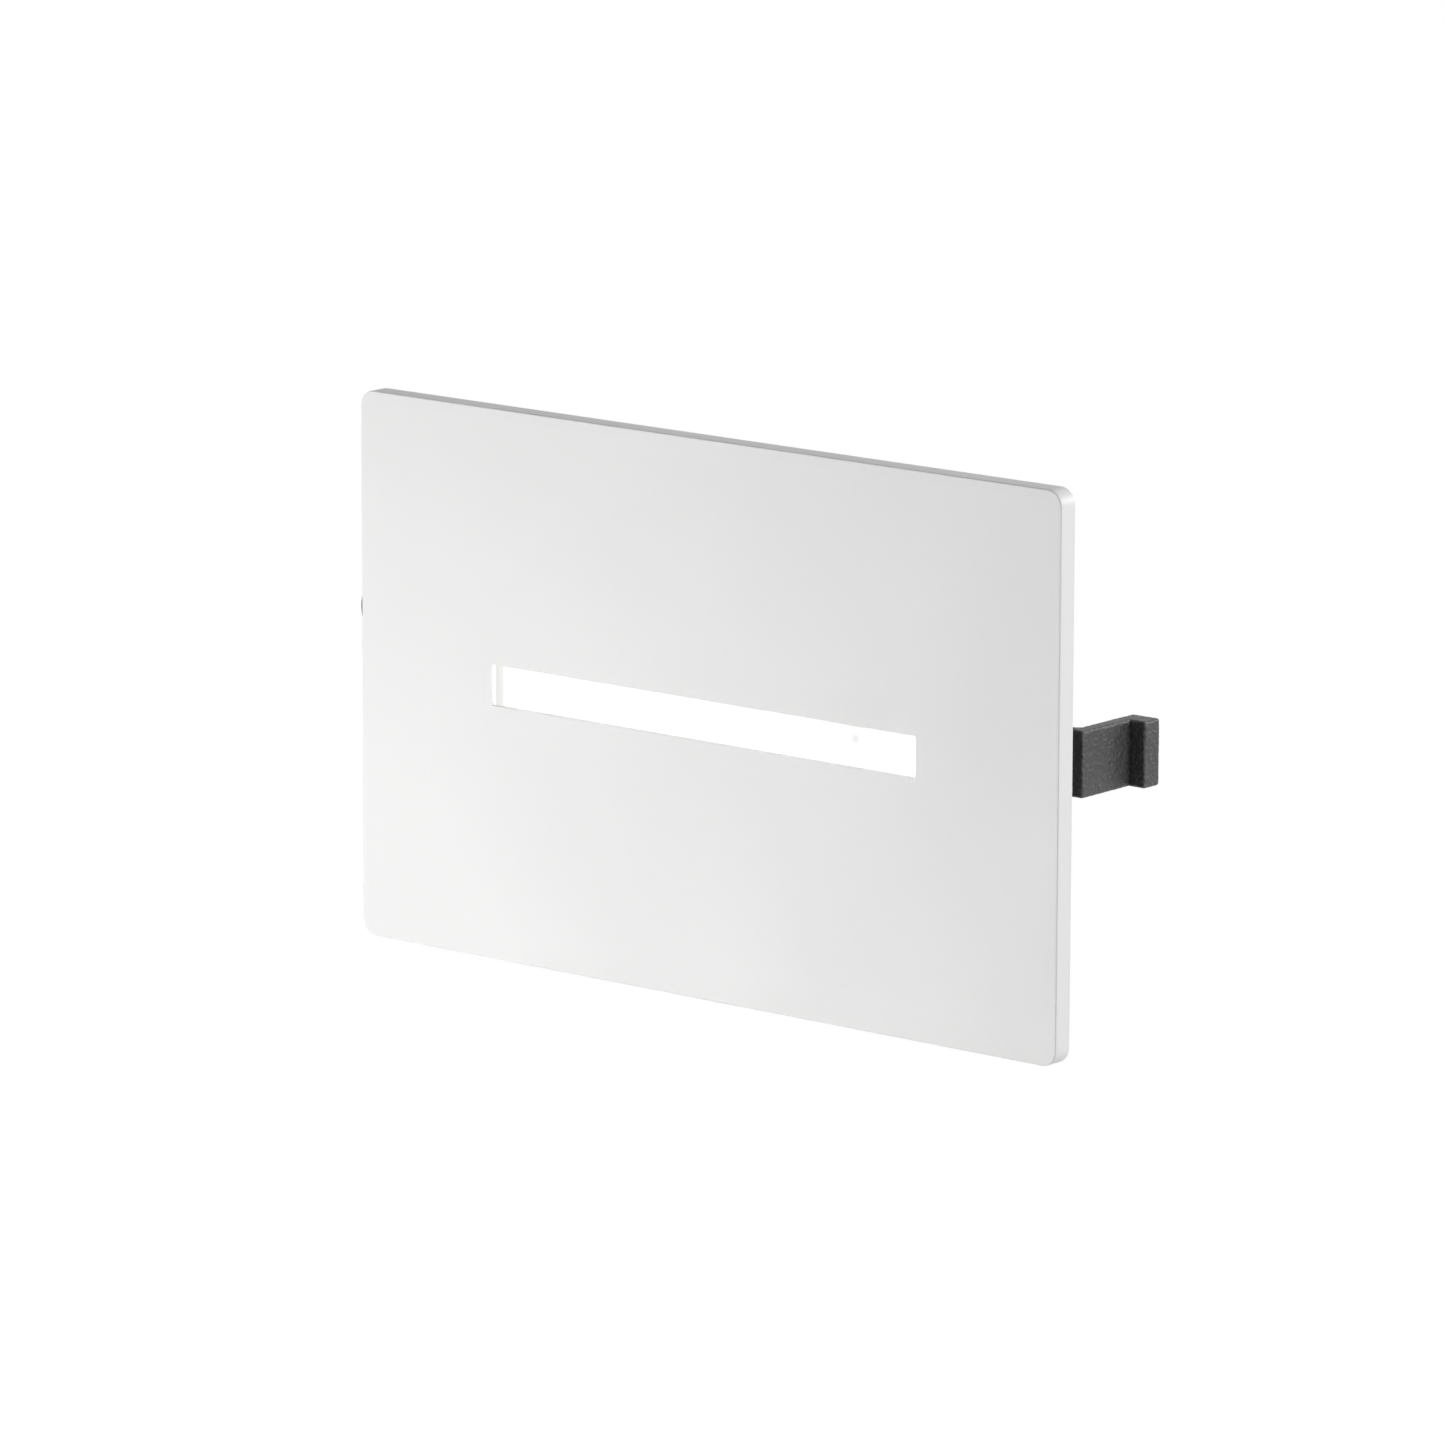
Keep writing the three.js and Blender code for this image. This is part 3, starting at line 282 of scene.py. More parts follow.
class Nodes:
    # short ways to fill one tree: a value is a plain one or another node's output

    def __init__(self, tree):
        self.tree = tree

    def plug(self, value, socket):
        if isinstance(value, bpy.types.NodeSocket):
            self.tree.links.new(value, socket)
        else:
            socket.default_value = value

    def fill(self, sockets, values):
        for key, value in values.items():
            self.plug(value, sockets[key])

    def add(self, kind, values=None, **settings):
        node = self.tree.nodes.new(kind)
        for key, value in settings.items():
            setattr(node, key, value)
        self.fill(node.inputs, values or {})
        return node

    def shader(self, kind, values=None, **settings):
        return self.add("ShaderNode" + kind, values, **settings).outputs[0]

    def shape(self, kind, values=None, **settings):
        return self.add("GeometryNode" + kind, values, **settings).outputs[0]

    def math(self, operation, *values):
        return self.shader("Math", dict(enumerate(values)), operation=operation)

    def times(self, *values):
        return self.math("MULTIPLY", *values)

    def less(self, *values):
        return self.math("SUBTRACT", *values)

    def mixed(self, share, first, second, **settings):
        values = {0: share, 6: first, 7: second}
        return self.add("ShaderNodeMix", values, data_type="RGBA", **settings).outputs[2]

    def ranged(self, value, *limits, **settings):
        # limits: from low, from high, to low, to high
        return self.shader("MapRange", dict(enumerate((value, *limits))), **settings)

    def group(self, tree, values):
        return self.add("ShaderNodeGroup", values, node_tree=tree).outputs

    def objectSpot(self):
        return self.add("ShaderNodeTexCoord").outputs["Object"]

    def coated(self, shape, material, socket):
        real = self.shape("RealizeInstances", {"Geometry": shape})
        self.plug(self.shape("SetMaterial", {"Geometry": real, "Material": material}), socket)


def treeWith(name, kind, inputs, outputs):
    tree = bpy.data.node_groups.new(name, kind)
    for direction, rows in (("INPUT", inputs), ("OUTPUT", outputs)):
        for label, sort in rows.items():
            tree.interface.new_socket(label, in_out=direction, socket_type="NodeSocket" + sort)
    nodes = Nodes(tree)
    return tree, nodes, nodes.add("NodeGroupInput").outputs, nodes.add("NodeGroupOutput").inputs


def floats(*labels):
    return dict.fromkeys(labels, "Float")


def grow(body, tree, values):
    # runs a geometry tree with values for its named inputs
    change = body.modifiers.new("grow", "NODES")
    change.node_group = tree
    for item in tree.interface.items_tree:
        if item.in_out == "INPUT" and item.name in values:
            change[item.identifier] = values[item.name]
    return bake(body)


# Shader groups that several finishes share

grainNoise = {"Scale": 1.0, "Detail": 3.0}
grainCells = {"Scale": 0.8, "Smoothness": 0.35}
wearAndHighlightRims = {"open": 0.9, "gain": 2.5, "samples": 8}
wearAndHighlightPatches = {"Scale": 1.0, "Detail": 4.0, "Roughness": 0.6}
slowShades = {"Scale": 1.0, "Detail": 5.0, "Roughness": 0.62}
fastShades = {"Scale": 31.0, "Detail": 1.0}
speckLevel = 0.72


def sized(nodes, spot, size):
    # a place counted in steps of a size in millimetres
    share = nodes.math("DIVIDE", 1 / mm, size)
    return nodes.shader("VectorMath", {"Vector": spot, "Scale": share}, operation="SCALE")


def grainGroup():
    # a fine uneven surface for a bump, drawn out along the depth where its share is under 1
    tree, nodes, given, out = treeWith(
        "surfaceGrain", "ShaderNodeTree",
        floats("Size", "Pebble", "Roughen", "Depth Share"), floats("Height"))
    share = nodes.shader("CombineXYZ", {"X": 1.0, "Y": given["Depth Share"], "Z": 1.0})
    drawn = nodes.shader("VectorMath", {0: nodes.objectSpot(), 1: share}, operation="MULTIPLY")
    spot = sized(nodes, drawn, given["Size"])
    fine = nodes.shader("TexNoise", {"Vector": spot, **grainNoise, "Roughness": given["Roughen"]})
    cells = nodes.shader("TexVoronoi", {"Vector": spot, **grainCells}, feature="SMOOTH_F1")
    domes = nodes.times(nodes.less(1.0, cells), given["Pebble"])
    rest = nodes.times(fine, nodes.less(1.0, given["Pebble"]))
    nodes.plug(nodes.math("ADD", domes, rest), out["Height"])
    return tree


def openness(nodes, reach, **settings):
    values = {"Distance": nodes.times(reach, mm)}
    return nodes.add(
        "ShaderNodeAmbientOcclusion", values, samples=wearAndHighlightRims["samples"], only_local=True,
        **settings).outputs["AO"]


def wearAndHighlightGroup():
    # worn corners and edges, and on the pebbled black a painted highlight along its rims: Mask is 1 on
    # outer rims and 0 in flat places
    tree, nodes, given, out = treeWith(
        "edgeWearAndHighlight", "ShaderNodeTree", floats("Reach", "Break Size"), floats("Mask"))
    inward = openness(nodes, given["Reach"], inside=True)
    edge = nodes.times(nodes.less(wearAndHighlightRims["open"], inward), wearAndHighlightRims["gain"])
    spot = sized(nodes, nodes.objectSpot(), given["Break Size"])
    patches = nodes.shader("TexNoise", {"Vector": spot, **wearAndHighlightPatches})
    clipped = nodes.math("MINIMUM", nodes.math("MAXIMUM", edge, 0.0), 1.0)
    nodes.plug(nodes.times(clipped, patches), out["Mask"])
    return tree


def paintedShadeGroup():
    # painted shade in recesses: Mask rises where little light gets in
    tree, nodes, given, out = treeWith(
        "paintedRecessShade", "ShaderNodeTree", floats("Reach", "Amount"), floats("Mask"))
    closed = nodes.less(1.0, openness(nodes, given["Reach"]))
    nodes.plug(nodes.times(closed, given["Amount"]), out["Mask"])
    return tree


def mottleGroup():
    # slow changes of shade and gloss, with a few fine specks
    tree, nodes, given, out = treeWith(
        "mottle", "ShaderNodeTree",
        {"Color": "Color", "Second Color": "Color", "Size": "Float", "Speck": "Float"},
        {"Color": "Color", "Mask": "Float"})
    spot = sized(nodes, nodes.objectSpot(), given["Size"])
    slow = nodes.shader("TexNoise", {"Vector": spot, **slowShades})
    fast = nodes.shader("TexNoise", {"Vector": spot, **fastShades})
    specks = nodes.math("GREATER_THAN", fast, speckLevel)
    share = nodes.math("ADD", slow, nodes.times(specks, given["Speck"]))
    nodes.plug(nodes.mixed(share, given["Color"], given["Second Color"]), out["Color"])
    nodes.plug(slow, out["Mask"])
    return tree


grain = grainGroup()
wearAndHighlight = wearAndHighlightGroup()
paintedRecessShade = paintedShadeGroup()
mottle = mottleGroup()

# what a finish has where its recipe says nothing; sizes are in millimetres
plainFinish = {
    # the last three values below set worn rims, which also stand for a painted highlight where a recipe
    # makes them pale
    "mottleSize": 9.0, "speck": 0.0, "wearAndHighlight": 0.3, "wearAndHighlightReach": 0.3, "wearAndHighlightBreak": 1.5,
    # the first three values below set a painted shade in recesses: how much, how far it reaches and its
    # colour
    "paintedRecessShade": 0.0, "paintedShadeReach": 0.9, "paintedShadeColor": 0.02, "grainSize": 0.4, "pebble": 0.0,
    "grainRough": 0.5, "depthShare": 1.0, "bump": 0.3, "grainHeight": 0.05, "metal": 0.0,
    "specular": 0.5, "coat": 0.0, "coatRough": 0.1}
glossRange = (0.3, 0.7)  # levels of the mottle's mask that stand for the least and most rough


def shade(level):
    return (level, level, level, 1.0) if isinstance(level, float) else (*level, 1.0)


def surfaceOf(name, recipe):
    # a new material with its two shades and its grain
    material = bpy.data.materials.new(name)
    material.use_nodes = True
    nodes = Nodes(material.node_tree)
    surface = material.node_tree.nodes["Principled BSDF"].inputs
    tones = nodes.group(mottle, {
        "Color": shade(recipe["color"]), "Second Color": shade(recipe["second"]),
        "Size": recipe["mottleSize"], "Speck": recipe["speck"]})
    texture = nodes.group(grain, {
        "Size": recipe["grainSize"], "Pebble": recipe["pebble"],
        "Roughen": recipe["grainRough"], "Depth Share": recipe["depthShare"]})
    bump = nodes.shader("Bump", {
        "Height": texture["Height"], "Strength": recipe["bump"],
        "Distance": recipe["grainHeight"] * mm})
    nodes.fill(surface, {"Normal": bump, "Specular IOR Level": recipe["specular"]})
    return material, nodes, surface, tones


def addPaintedGlow(nodes, surface, paintedGlow):
    # painted glow: the plate's lips at both ends of the slot emit a little light, standing in for the
    # lens's light falling on them
    parts = nodes.add("ShaderNodeSeparateXYZ", {0: nodes.objectSpot()}).outputs
    past = nodes.less(nodes.math("ABSOLUTE", parts["X"]), paintedGlow["half"] * mm)
    near = nodes.ranged(nodes.math("ABSOLUTE", past), 0.0, paintedGlow["reach"] * mm, 1.0, 0.0)
    level = nodes.ranged(
        nodes.math("ABSOLUTE", parts["Z"]), (paintedGlow["halfHeight"] - paintedGlow["fade"]) * mm,
        paintedGlow["halfHeight"] * mm, paintedGlow["strength"], 0.0)
    nodes.fill(surface, {
        "Emission Color": shade(paintedGlow["color"]), "Emission Strength": nodes.times(near, level)})


def finish(name, recipe):
    # one surface from a recipe: its two shades, its gloss, its grain, its worn rims, which on the
    # pebbled black are a painted highlight, and a painted shade in its recesses
    recipe = {"wornAndHighlight": recipe["color"], **plainFinish, **recipe}
    material, nodes, surface, tones = surfaceOf(name, recipe)
    rims = nodes.group(wearAndHighlight, {"Reach": recipe["wearAndHighlightReach"], "Break Size": recipe["wearAndHighlightBreak"]})
    paintedShadeMask = nodes.group(paintedRecessShade, {"Reach": recipe["paintedShadeReach"], "Amount": recipe["paintedRecessShade"]})
    wornAndHighlight = nodes.mixed(
        nodes.times(rims["Mask"], recipe["wearAndHighlight"]), tones["Color"], shade(recipe["wornAndHighlight"]))
    nodes.fill(surface, {
        "Base Color": nodes.mixed(paintedShadeMask["Mask"], wornAndHighlight, shade(recipe["paintedShadeColor"])),
        "Roughness": nodes.ranged(tones["Mask"], *glossRange, *recipe["rough"]),
        "Metallic": recipe["metal"], "Coat Weight": recipe["coat"],
        "Coat Roughness": recipe["coatRough"]})
    # a painted glow where the recipe asks for one
    if "paintedGlow" in recipe:
        addPaintedGlow(nodes, surface, recipe["paintedGlow"])
    return material


# Finishes

recipes = {
    "whiteCoat": {
        "color": (0.865, 0.865, 0.862), "second": (0.875, 0.874, 0.87), "rough": (0.4, 0.46),
        "grainSize": 0.35, "bump": 0.12, "grainHeight": 0.02, "wornAndHighlight": 0.8, "wearAndHighlight": 0.25,
        "mottleSize": 30.0, "specular": 0.4,
        # a painted glow on the slot's end lips, standing in for the lens's light
        "paintedGlow": {"half": 36.45, "halfHeight": 2.9, "fade": 0.15, "reach": 0.4, "strength": 0.06,
                  "color": (1.0, 1.0, 0.99)}},
    "castAlloy": {
        "color": 0.4, "second": (0.47, 0.475, 0.49), "rough": (0.42, 0.6), "metal": 0.9,
        "grainSize": 0.7, "bump": 0.7, "grainHeight": 0.08, "wornAndHighlight": 0.7, "wearAndHighlight": 0.5, "speck": 0.3,
        # a painted shade in its recesses
        "paintedRecessShade": 0.35},
    "foam": {
        "color": 0.022, "second": 0.035, "rough": (0.85, 0.95), "grainSize": 0.35, "pebble": 0.8,
        "bump": 0.9, "grainHeight": 0.15, "mottleSize": 3.0, "wearAndHighlight": 0.0},
    "siliconeGrey": {
        "color": 0.62, "second": 0.7, "rough": (0.5, 0.6), "bump": 0.15, "wearAndHighlight": 0.0},
    "boxPlastic": {
        "color": 0.026, "second": 0.034, "rough": (0.5, 0.62), "grainSize": 0.28, "bump": 0.45,
        "grainHeight": 0.04, "wornAndHighlight": 0.09, "wearAndHighlight": 0.35},
    "zincSteel": {
        "color": 0.5, "second": (0.6, 0.61, 0.62), "rough": (0.28, 0.42), "metal": 1.0,
        "grainSize": 1.2, "bump": 0.15, "wornAndHighlight": 0.85, "wearAndHighlight": 0.5, "mottleSize": 2.4, "speck": 0.25,
        # a painted shade in its recesses
        "paintedRecessShade": 0.9, "paintedShadeReach": 0.7},
    "springSteel": {
        "color": 0.3, "second": (0.4, 0.4, 0.41), "rough": (0.26, 0.36), "metal": 1.0,
        "grainSize": 0.3, "bump": 0.2, "mottleSize": 1.5, "wearAndHighlight": 0.2, "wornAndHighlight": 0.7},
    "blackSteel": {
        "color": 0.02, "second": 0.03, "rough": (0.52, 0.64), "grainSize": 0.3, "wornAndHighlight": 0.2,
        "wearAndHighlight": 0.7, "wearAndHighlightReach": 0.35, "specular": 0.35},
    "pebbleBlack": {
        # its pale rims are a painted highlight along the clip's edges, on top of wear
        "color": 0.01, "second": 0.082, "rough": (0.38, 0.5), "grainSize": 0.46, "pebble": 0.45,
        "depthShare": 0.8, "bump": 1.0, "grainHeight": 0.24, "wornAndHighlight": 0.3, "wearAndHighlight": 1.0,
        # a painted shade in the clip's recesses
        "wearAndHighlightReach": 0.5, "mottleSize": 0.55, "paintedRecessShade": 0.9, "paintedShadeReach": 0.6, "paintedShadeColor": 0.003},
    "rubber": {
        "color": 0.014, "second": 0.02, "rough": (0.6, 0.75), "grainSize": 0.25, "bump": 0.4,
        "grainHeight": 0.03, "wornAndHighlight": 0.05, "wearAndHighlight": 0.4, "mottleSize": 4.0},
    "whitePlastic": {
        "color": 0.86, "second": 0.89, "rough": (0.4, 0.5), "bump": 0.1, "wearAndHighlight": 0.0},
    "boardWhite": {
        "color": (0.8, 0.81, 0.78), "second": (0.86, 0.87, 0.84), "rough": (0.3, 0.4),
        "bump": 0.1, "speck": 0.3, "mottleSize": 6.0},
    "padGrey": {
        "color": (0.3, 0.33, 0.36), "second": (0.36, 0.39, 0.42), "rough": (0.8, 0.9),
        "grainSize": 0.3, "bump": 0.5, "speck": 0.4},
    "phosphor": {
        "color": (0.85, 0.68, 0.12), "second": (0.9, 0.75, 0.2), "rough": (0.4, 0.55),
        "mottleSize": 1.0},
    "sensorDark": {
        "color": 0.06, "second": 0.09, "rough": (0.12, 0.2), "bump": 0.05, "coat": 0.5},
    "boardGreen": {
        "color": (0.012, 0.1, 0.035), "second": (0.02, 0.15, 0.05), "rough": (0.3, 0.45),
        "grainSize": 0.8, "mottleSize": 5.0, "speck": 0.5, "coat": 0.3},
    "ferrite": {
        "color": 0.035, "second": 0.055, "rough": (0.55, 0.7), "grainSize": 0.2, "bump": 0.5,
        "speck": 0.3, "wornAndHighlight": 0.12, "wearAndHighlight": 0.5},
    "tape": {
        "color": (0.62, 0.42, 0.03), "second": (0.7, 0.5, 0.06), "rough": (0.22, 0.34),
        "grainSize": 2.0, "coat": 0.4},
    "sleeveBlue": {
        "color": (0.012, 0.03, 0.12), "second": (0.02, 0.045, 0.16), "rough": (0.25, 0.35),
        "grainSize": 1.2, "bump": 0.2, "coat": 0.4, "coatRough": 0.15},
    "filmRed": {
        "color": (0.33, 0.05, 0.025), "second": (0.38, 0.07, 0.035), "rough": (0.25, 0.35),
        "grainSize": 1.5, "bump": 0.2, "coat": 0.5},
    "mouldBlack": {
        "color": 0.012, "second": 0.018, "rough": (0.5, 0.6), "grainSize": 0.15, "bump": 0.4},
    "nickel": {
        "color": 0.5, "second": (0.58, 0.57, 0.55), "rough": (0.2, 0.32), "metal": 1.0,
        "grainSize": 0.6, "bump": 0.15, "wornAndHighlight": 0.8, "wearAndHighlight": 0.4},
    "terminalGreen": {
        "color": (0.02, 0.2, 0.06), "second": (0.03, 0.25, 0.08), "rough": (0.35, 0.45),
        "bump": 0.2},
    "leadWhite": {
        "color": 0.7, "second": 0.78, "rough": (0.4, 0.5), "grainSize": 0.6, "bump": 0.2},
}
finishes = {name: finish(name, recipe) for name, recipe in recipes.items()}

# steps: millimetres from the left end, and the light there as a share of the strength. The first two
# paint a thin highlight at the very end, and the dimmer creamy ones after them a painted shade behind
# the left lip, back to full light at the last
lensLight = {
    "half": 36.3, "halfHeight": 2.72, "middle": 2.1, "rimShare": 0.31,
    "steps": [(0.0, (1.0, 1.0, 0.99)), (0.12, (1.0, 1.0, 0.99)), (0.18, (0.224, 0.22, 0.211)),
              (1.5, (0.26, 0.258, 0.253)), (2.7, (0.5, 0.5, 0.49)), (5.0, (1.0, 1.0, 0.99))],
    # a painted shadow of the sensor behind the lens: its middle, how near it is darkest, how far it
    # reaches, and its colour
    "paintedSensorShadow": (26.3, 0.0, 1.06), "sensorShadowNear": 0.1, "sensorShadowFar": 4.4, "sensorShadowColor": (0.265, 0.265, 0.264),
    "color": (0.25, 0.25, 0.247), "second": (0.28, 0.28, 0.277), "rough": 0.6, "specular": 0.2,
    "mottleSize": 6.0, "grainSize": 0.3, "bump": 0.1, "grainHeight": 0.02, "strength": 2.5}


def opalFinish(values):
    # lit from behind, with painted light in its glow: a thin painted highlight at its left end, a
    # painted creamy shade behind its left lip, darker at its rims, and a painted shadow of the sensor
    # as a dot over it
    values = {**plainFinish, **values}
    material, nodes, surface, tones = surfaceOf("opal", values)
    spot = nodes.objectSpot()
    parts = nodes.add("ShaderNodeSeparateXYZ", {0: spot}).outputs
    left, reach = -values["half"], values["steps"][-1][0]
    along = nodes.ranged(parts["X"], left * mm, (left + reach) * mm)
    ends = nodes.add("ShaderNodeValToRGB", {0: along})
    stops = ends.color_ramp.elements
    while len(stops) < len(values["steps"]):
        stops.new(1.0)
    for stop, (distance, color) in zip(stops, values["steps"]):
        stop.position = distance / reach
        stop.color = shade(color)
    across = nodes.ranged(
        nodes.math("ABSOLUTE", parts["Z"]), values["middle"] * mm, values["halfHeight"] * mm, 1.0,
        values["rimShare"], interpolation_type="SMOOTHSTEP")
    lit = nodes.mixed(1.0, ends.outputs[0], across, blend_type="DARKEN")
    # the painted shadow of the sensor: a dot where the glow is dimmer
    middle = tuple(v * mm for v in values["paintedSensorShadow"])
    away = nodes.shader("VectorMath", {0: spot, 1: middle}, operation="SUBTRACT")
    flat = nodes.shader("VectorMath", {0: away, 1: (1.0, 0.0, 1.0)}, operation="MULTIPLY")
    far = nodes.add("ShaderNodeVectorMath", {0: flat}, operation="LENGTH").outputs["Value"]
    clear = nodes.ranged(
        far, values["sensorShadowNear"] * mm, values["sensorShadowFar"] * mm, interpolation_type="SMOOTHSTEP")
    nodes.fill(surface, {
        "Base Color": tones["Color"], "Roughness": values["rough"],
        "Emission Color": nodes.mixed(clear, shade(values["sensorShadowColor"]), lit),
        "Emission Strength": values["strength"]})
    return material


finishes["opal"] = opalFinish(lensLight)
print("finishes made:", len(finishes))


# The face plate: round corners, rounded rims, the long slot, a rib round the window and four bosses

plate = {"size": (120.0, 76.0), "corner": 2.3, "edge": 0.2, "backEdge": 0.12, "front": -4.0,
         "back": -1.0, "root": 0.4, "edgeSteps": 6, "steps": 20}
slot = {"size": (72.9, 5.65), "corner": 0.05, "ease": 0.06, "lead": 0.5, "steps": 3}
window = {"inner": (79.5, 12.25), "outer": (81.9, 14.65), "back": 0.4}
bosses = {"places": mirrored(46.0, 24.0), "radius": 3.0, "back": 3.8, "hole": 1.37, "holeFront": -0.2,
          "frameHole": 1.55}


def facePlate():
    front, back, places = plate["front"], plate["back"], bosses["places"]
    body = slab(plate["size"], plate["corner"], front, back, plate["edge"], plate["backEdge"],
                plate["edgeSteps"], plate["steps"])
    root = back - plate["root"]
    ridge = block(0, 0, root, window["back"], *window["outer"])
    ridge = cut(ridge, block(0, 0, root - overrun, window["back"] + overrun, *window["inner"]))
    body = join(body, ridge, *bars(places, root, bosses["back"], bosses["radius"]))
    ease, lead, steps = slot["ease"], slot["lead"], slot["steps"]
    opening = slab(slot["size"], slot["corner"], front - overrun, back + overrun, steps=steps)
    loops = [roundedLoop(shrunk(slot["size"], -wider), slot["corner"] + wider / 2, steps)
             for wider in (ease + lead, ease, ease / 3, 0.0)]
    mouth = stacked(loops, (front - lead, front, front + ease / 3, front + ease))
    holes = bars(places, bosses["holeFront"], bosses["back"] + overrun, bosses["hole"])
    return cut(body, opening, mouth, *holes)


finished(facePlate(), "facePlate", "whiteCoat", "white_coat", "face_plate")


# The foam ring that meets the wall, and the window with its seal: a tongue in the slot and a
# flange behind it

foamRing = {"outer": (117.2, 73.2), "inner": (106.6, 62.6), "corners": (2.3, 3.0), "low": -1.0,
            "high": 0.0, "edge": 0.18, "steps": 8}
lens = {"tongue": (72.6, 5.45), "front": -3.7, "tongueCorner": 0.05, "tongueEdge": 0.03,
        "flange": (78.9, 11.65), "low": -0.8, "high": 0.7, "corner": 0.4, "edge": 0.1, "root": 0.4,
        "steps": 4}
lensSeal = {"outer": (78.9, 11.65), "inner": (74.9, 7.65), "corners": (0.5, 0.5), "low": 0.9,
            "high": 1.7, "edge": 0.2, "steps": 4}


def ring(values):
    low, high, steps = values["low"], values["high"], values["steps"]
    outer, inner = values["corners"]
    body = slab(values["outer"], outer, low, high, values["edge"], steps=steps)
    return cut(body, slab(values["inner"], inner, low - overrun, high + overrun, steps=steps))


def diffuserLens():
    body = slab(lens["flange"], lens["corner"], lens["low"], lens["high"], lens["edge"],
                steps=lens["steps"])
    return join(body, slab(lens["tongue"], lens["tongueCorner"], lens["front"],
                           lens["high"] - lens["root"], lens["tongueEdge"], steps=lens["steps"]))


finished(ring(foamRing), "faceGasket", "foam", "foam", "face_gasket")
finished(diffuserLens(), "diffuserLens", "opal", "opal", "diffuser_lens")
finished(ring(lensSeal), "lensSeal", "siliconeGrey", "silicone", "lens_seal")
print("front made")


# The cast frame: a shallow tray with a deeper trough across its middle

tray = {"size": (106.0, 62.0), "corner": 3.0, "wall": 2.0, "insideCorner": 2.0, "front": -0.8,
        "floor": 4.0, "back": 6.0, "edge": 0.35}
trough = {"outer": (83.5, 16.25), "inner": (79.5, 12.25), "corner": 1.0, "insideCorner": 0.6,
          "edge": 0.3, "root": 0.6, "back": 13.4, "floor": 11.4, "steps": 6, "insideSteps": 4}
clipBosses = {"hook": [(47.5, 2.3), (47.5, -2.3)], "bracket": [(-45.0, 7.0), (-45.0, -7.0)],
              "radius": 2.2, "front": 1.5, "root": 0.5, "hole": 1.07}
lightScrews = {"places": [(-17.2, 0.0), (17.2, 0.0)], "hole": 0.92}
boxScrews = {"places": mirrored(22.5, 14.5), "hole": 1.45}
leadWay = (3.2, 1.9)


def backFrame():
    front, back, floor = tray["front"], tray["back"], trough["floor"]
    clips = clipBosses["hook"] + clipBosses["bracket"]
    body = slab(tray["size"], tray["corner"], front, back, tray["edge"])
    inside = shrunk(tray["size"], tray["wall"])
    body = cut(body, slab(inside, tray["insideCorner"], front - overrun, tray["floor"]))
    deep = slab(trough["outer"], trough["corner"], back - trough["root"], trough["back"],
                trough["edge"], steps=trough["steps"])
    posts = bars(clips, clipBosses["front"], tray["floor"] + clipBosses["root"], clipBosses["radius"])
    body = join(body, deep, *posts)
    return cut(
        body,
        slab(trough["inner"], trough["insideCorner"], front - overrun, floor,
             steps=trough["insideSteps"]),
        *bars(clips, 0, trough["back"], clipBosses["hole"]),
        *bars(bosses["places"], 0, back + overrun, bosses["frameHole"]),
        *bars(boxScrews["places"], 0, back + overrun, boxScrews["hole"]),
        *bars(lightScrews["places"], floor - overrun, trough["back"] + overrun, lightScrews["hole"]),
        block(0, 0, floor - overrun, trough["back"] + overrun, *leadWay))


finished(backFrame(), "backFrame", "castAlloy", "cast_alloy", "back_frame")


# The driver box astride the trough, with its gasket, its ribbed cover and its grommet

box = {"size": (64.0, 42.0), "corner": 3.0, "wall": 2.0, "insideCorner": 2.0, "front": 6.2,
       "back": 29.0, "edge": 0.5, "channel": 16.86, "channelBack": 13.7, "saddleBack": 15.7,
       "root": 1, "post": 3.0, "posts": mirrored(28.6, 17.6), "postHole": 1.27,
       "postHoleFront": 23.0, "columnBack": 17.5, "columnHole": 1.27, "columnHoleBack": 11.4,
       "boardHole": 1.02, "boardHoleFront": 14.9, "steps": 12}
inlet = {"place": (8.0, 24.25), "hole": 4.1}
rearSeal = {"outer": (63.2, 41.2), "inner": (60.0, 38.0), "corners": (2.6, 2.0), "low": 29.0,
            "high": 30.2, "edge": 0.2, "steps": 8}
cover = {"low": 30.2, "high": 32.0, "edge": 0.4, "screwHole": 1.45}
coverRib = {"count": 5, "pitch": 5.0, "size": (48.0, 1.6), "corner": 0.79, "height": 0.6,
            "root": 0.5, "edge": 0.3, "steps": 6}
grommet = {"bore": 3.1, "neck": 3.9, "outerRim": 5.0, "innerRim": 4.6, "bevel": (0.5, 0.3),
           "levels": (-22.3, -21.2, -18.8, -17.7), "ease": 0.4, "easeSteps": 3, "sides": 48}


def driverHousing():
    width, height = box["size"]
    front, back, wall, columns = box["front"], box["back"], box["wall"], boxScrews["places"]
    body = slab(box["size"], box["corner"], front, back, box["edge"], steps=box["steps"])
    body = cut(body, slab(shrunk(box["size"], wall), box["insideCorner"], front + wall, back + overrun))
    root = front + box["root"]
    saddle = block(0, 0, root, box["saddleBack"], width - 2 * box["root"], box["channel"] + 2 * wall)
    body = join(
        body, saddle,
        *bars(columns, root, box["columnBack"], box["post"]),
        *bars(box["posts"], root, back, box["post"]))
    return cut(
        body,
        block(0, 0, front - overrun, box["channelBack"], width + overrun, box["channel"]),
        *bars(columns, front - overrun, box["columnHoleBack"], box["columnHole"]),
        *bars(columns[1::2], box["boardHoleFront"], box["columnBack"] + overrun, box["boardHole"]),
        *bars(box["posts"], box["postHoleFront"], back + overrun, box["postHole"]),
        *bars([inlet["place"]], -height / 2 - overrun, box["root"] + wall - height / 2,
              inlet["hole"], "z"),
        block(0, 0, box["channelBack"] - overrun, box["saddleBack"] + overrun, *leadWay))


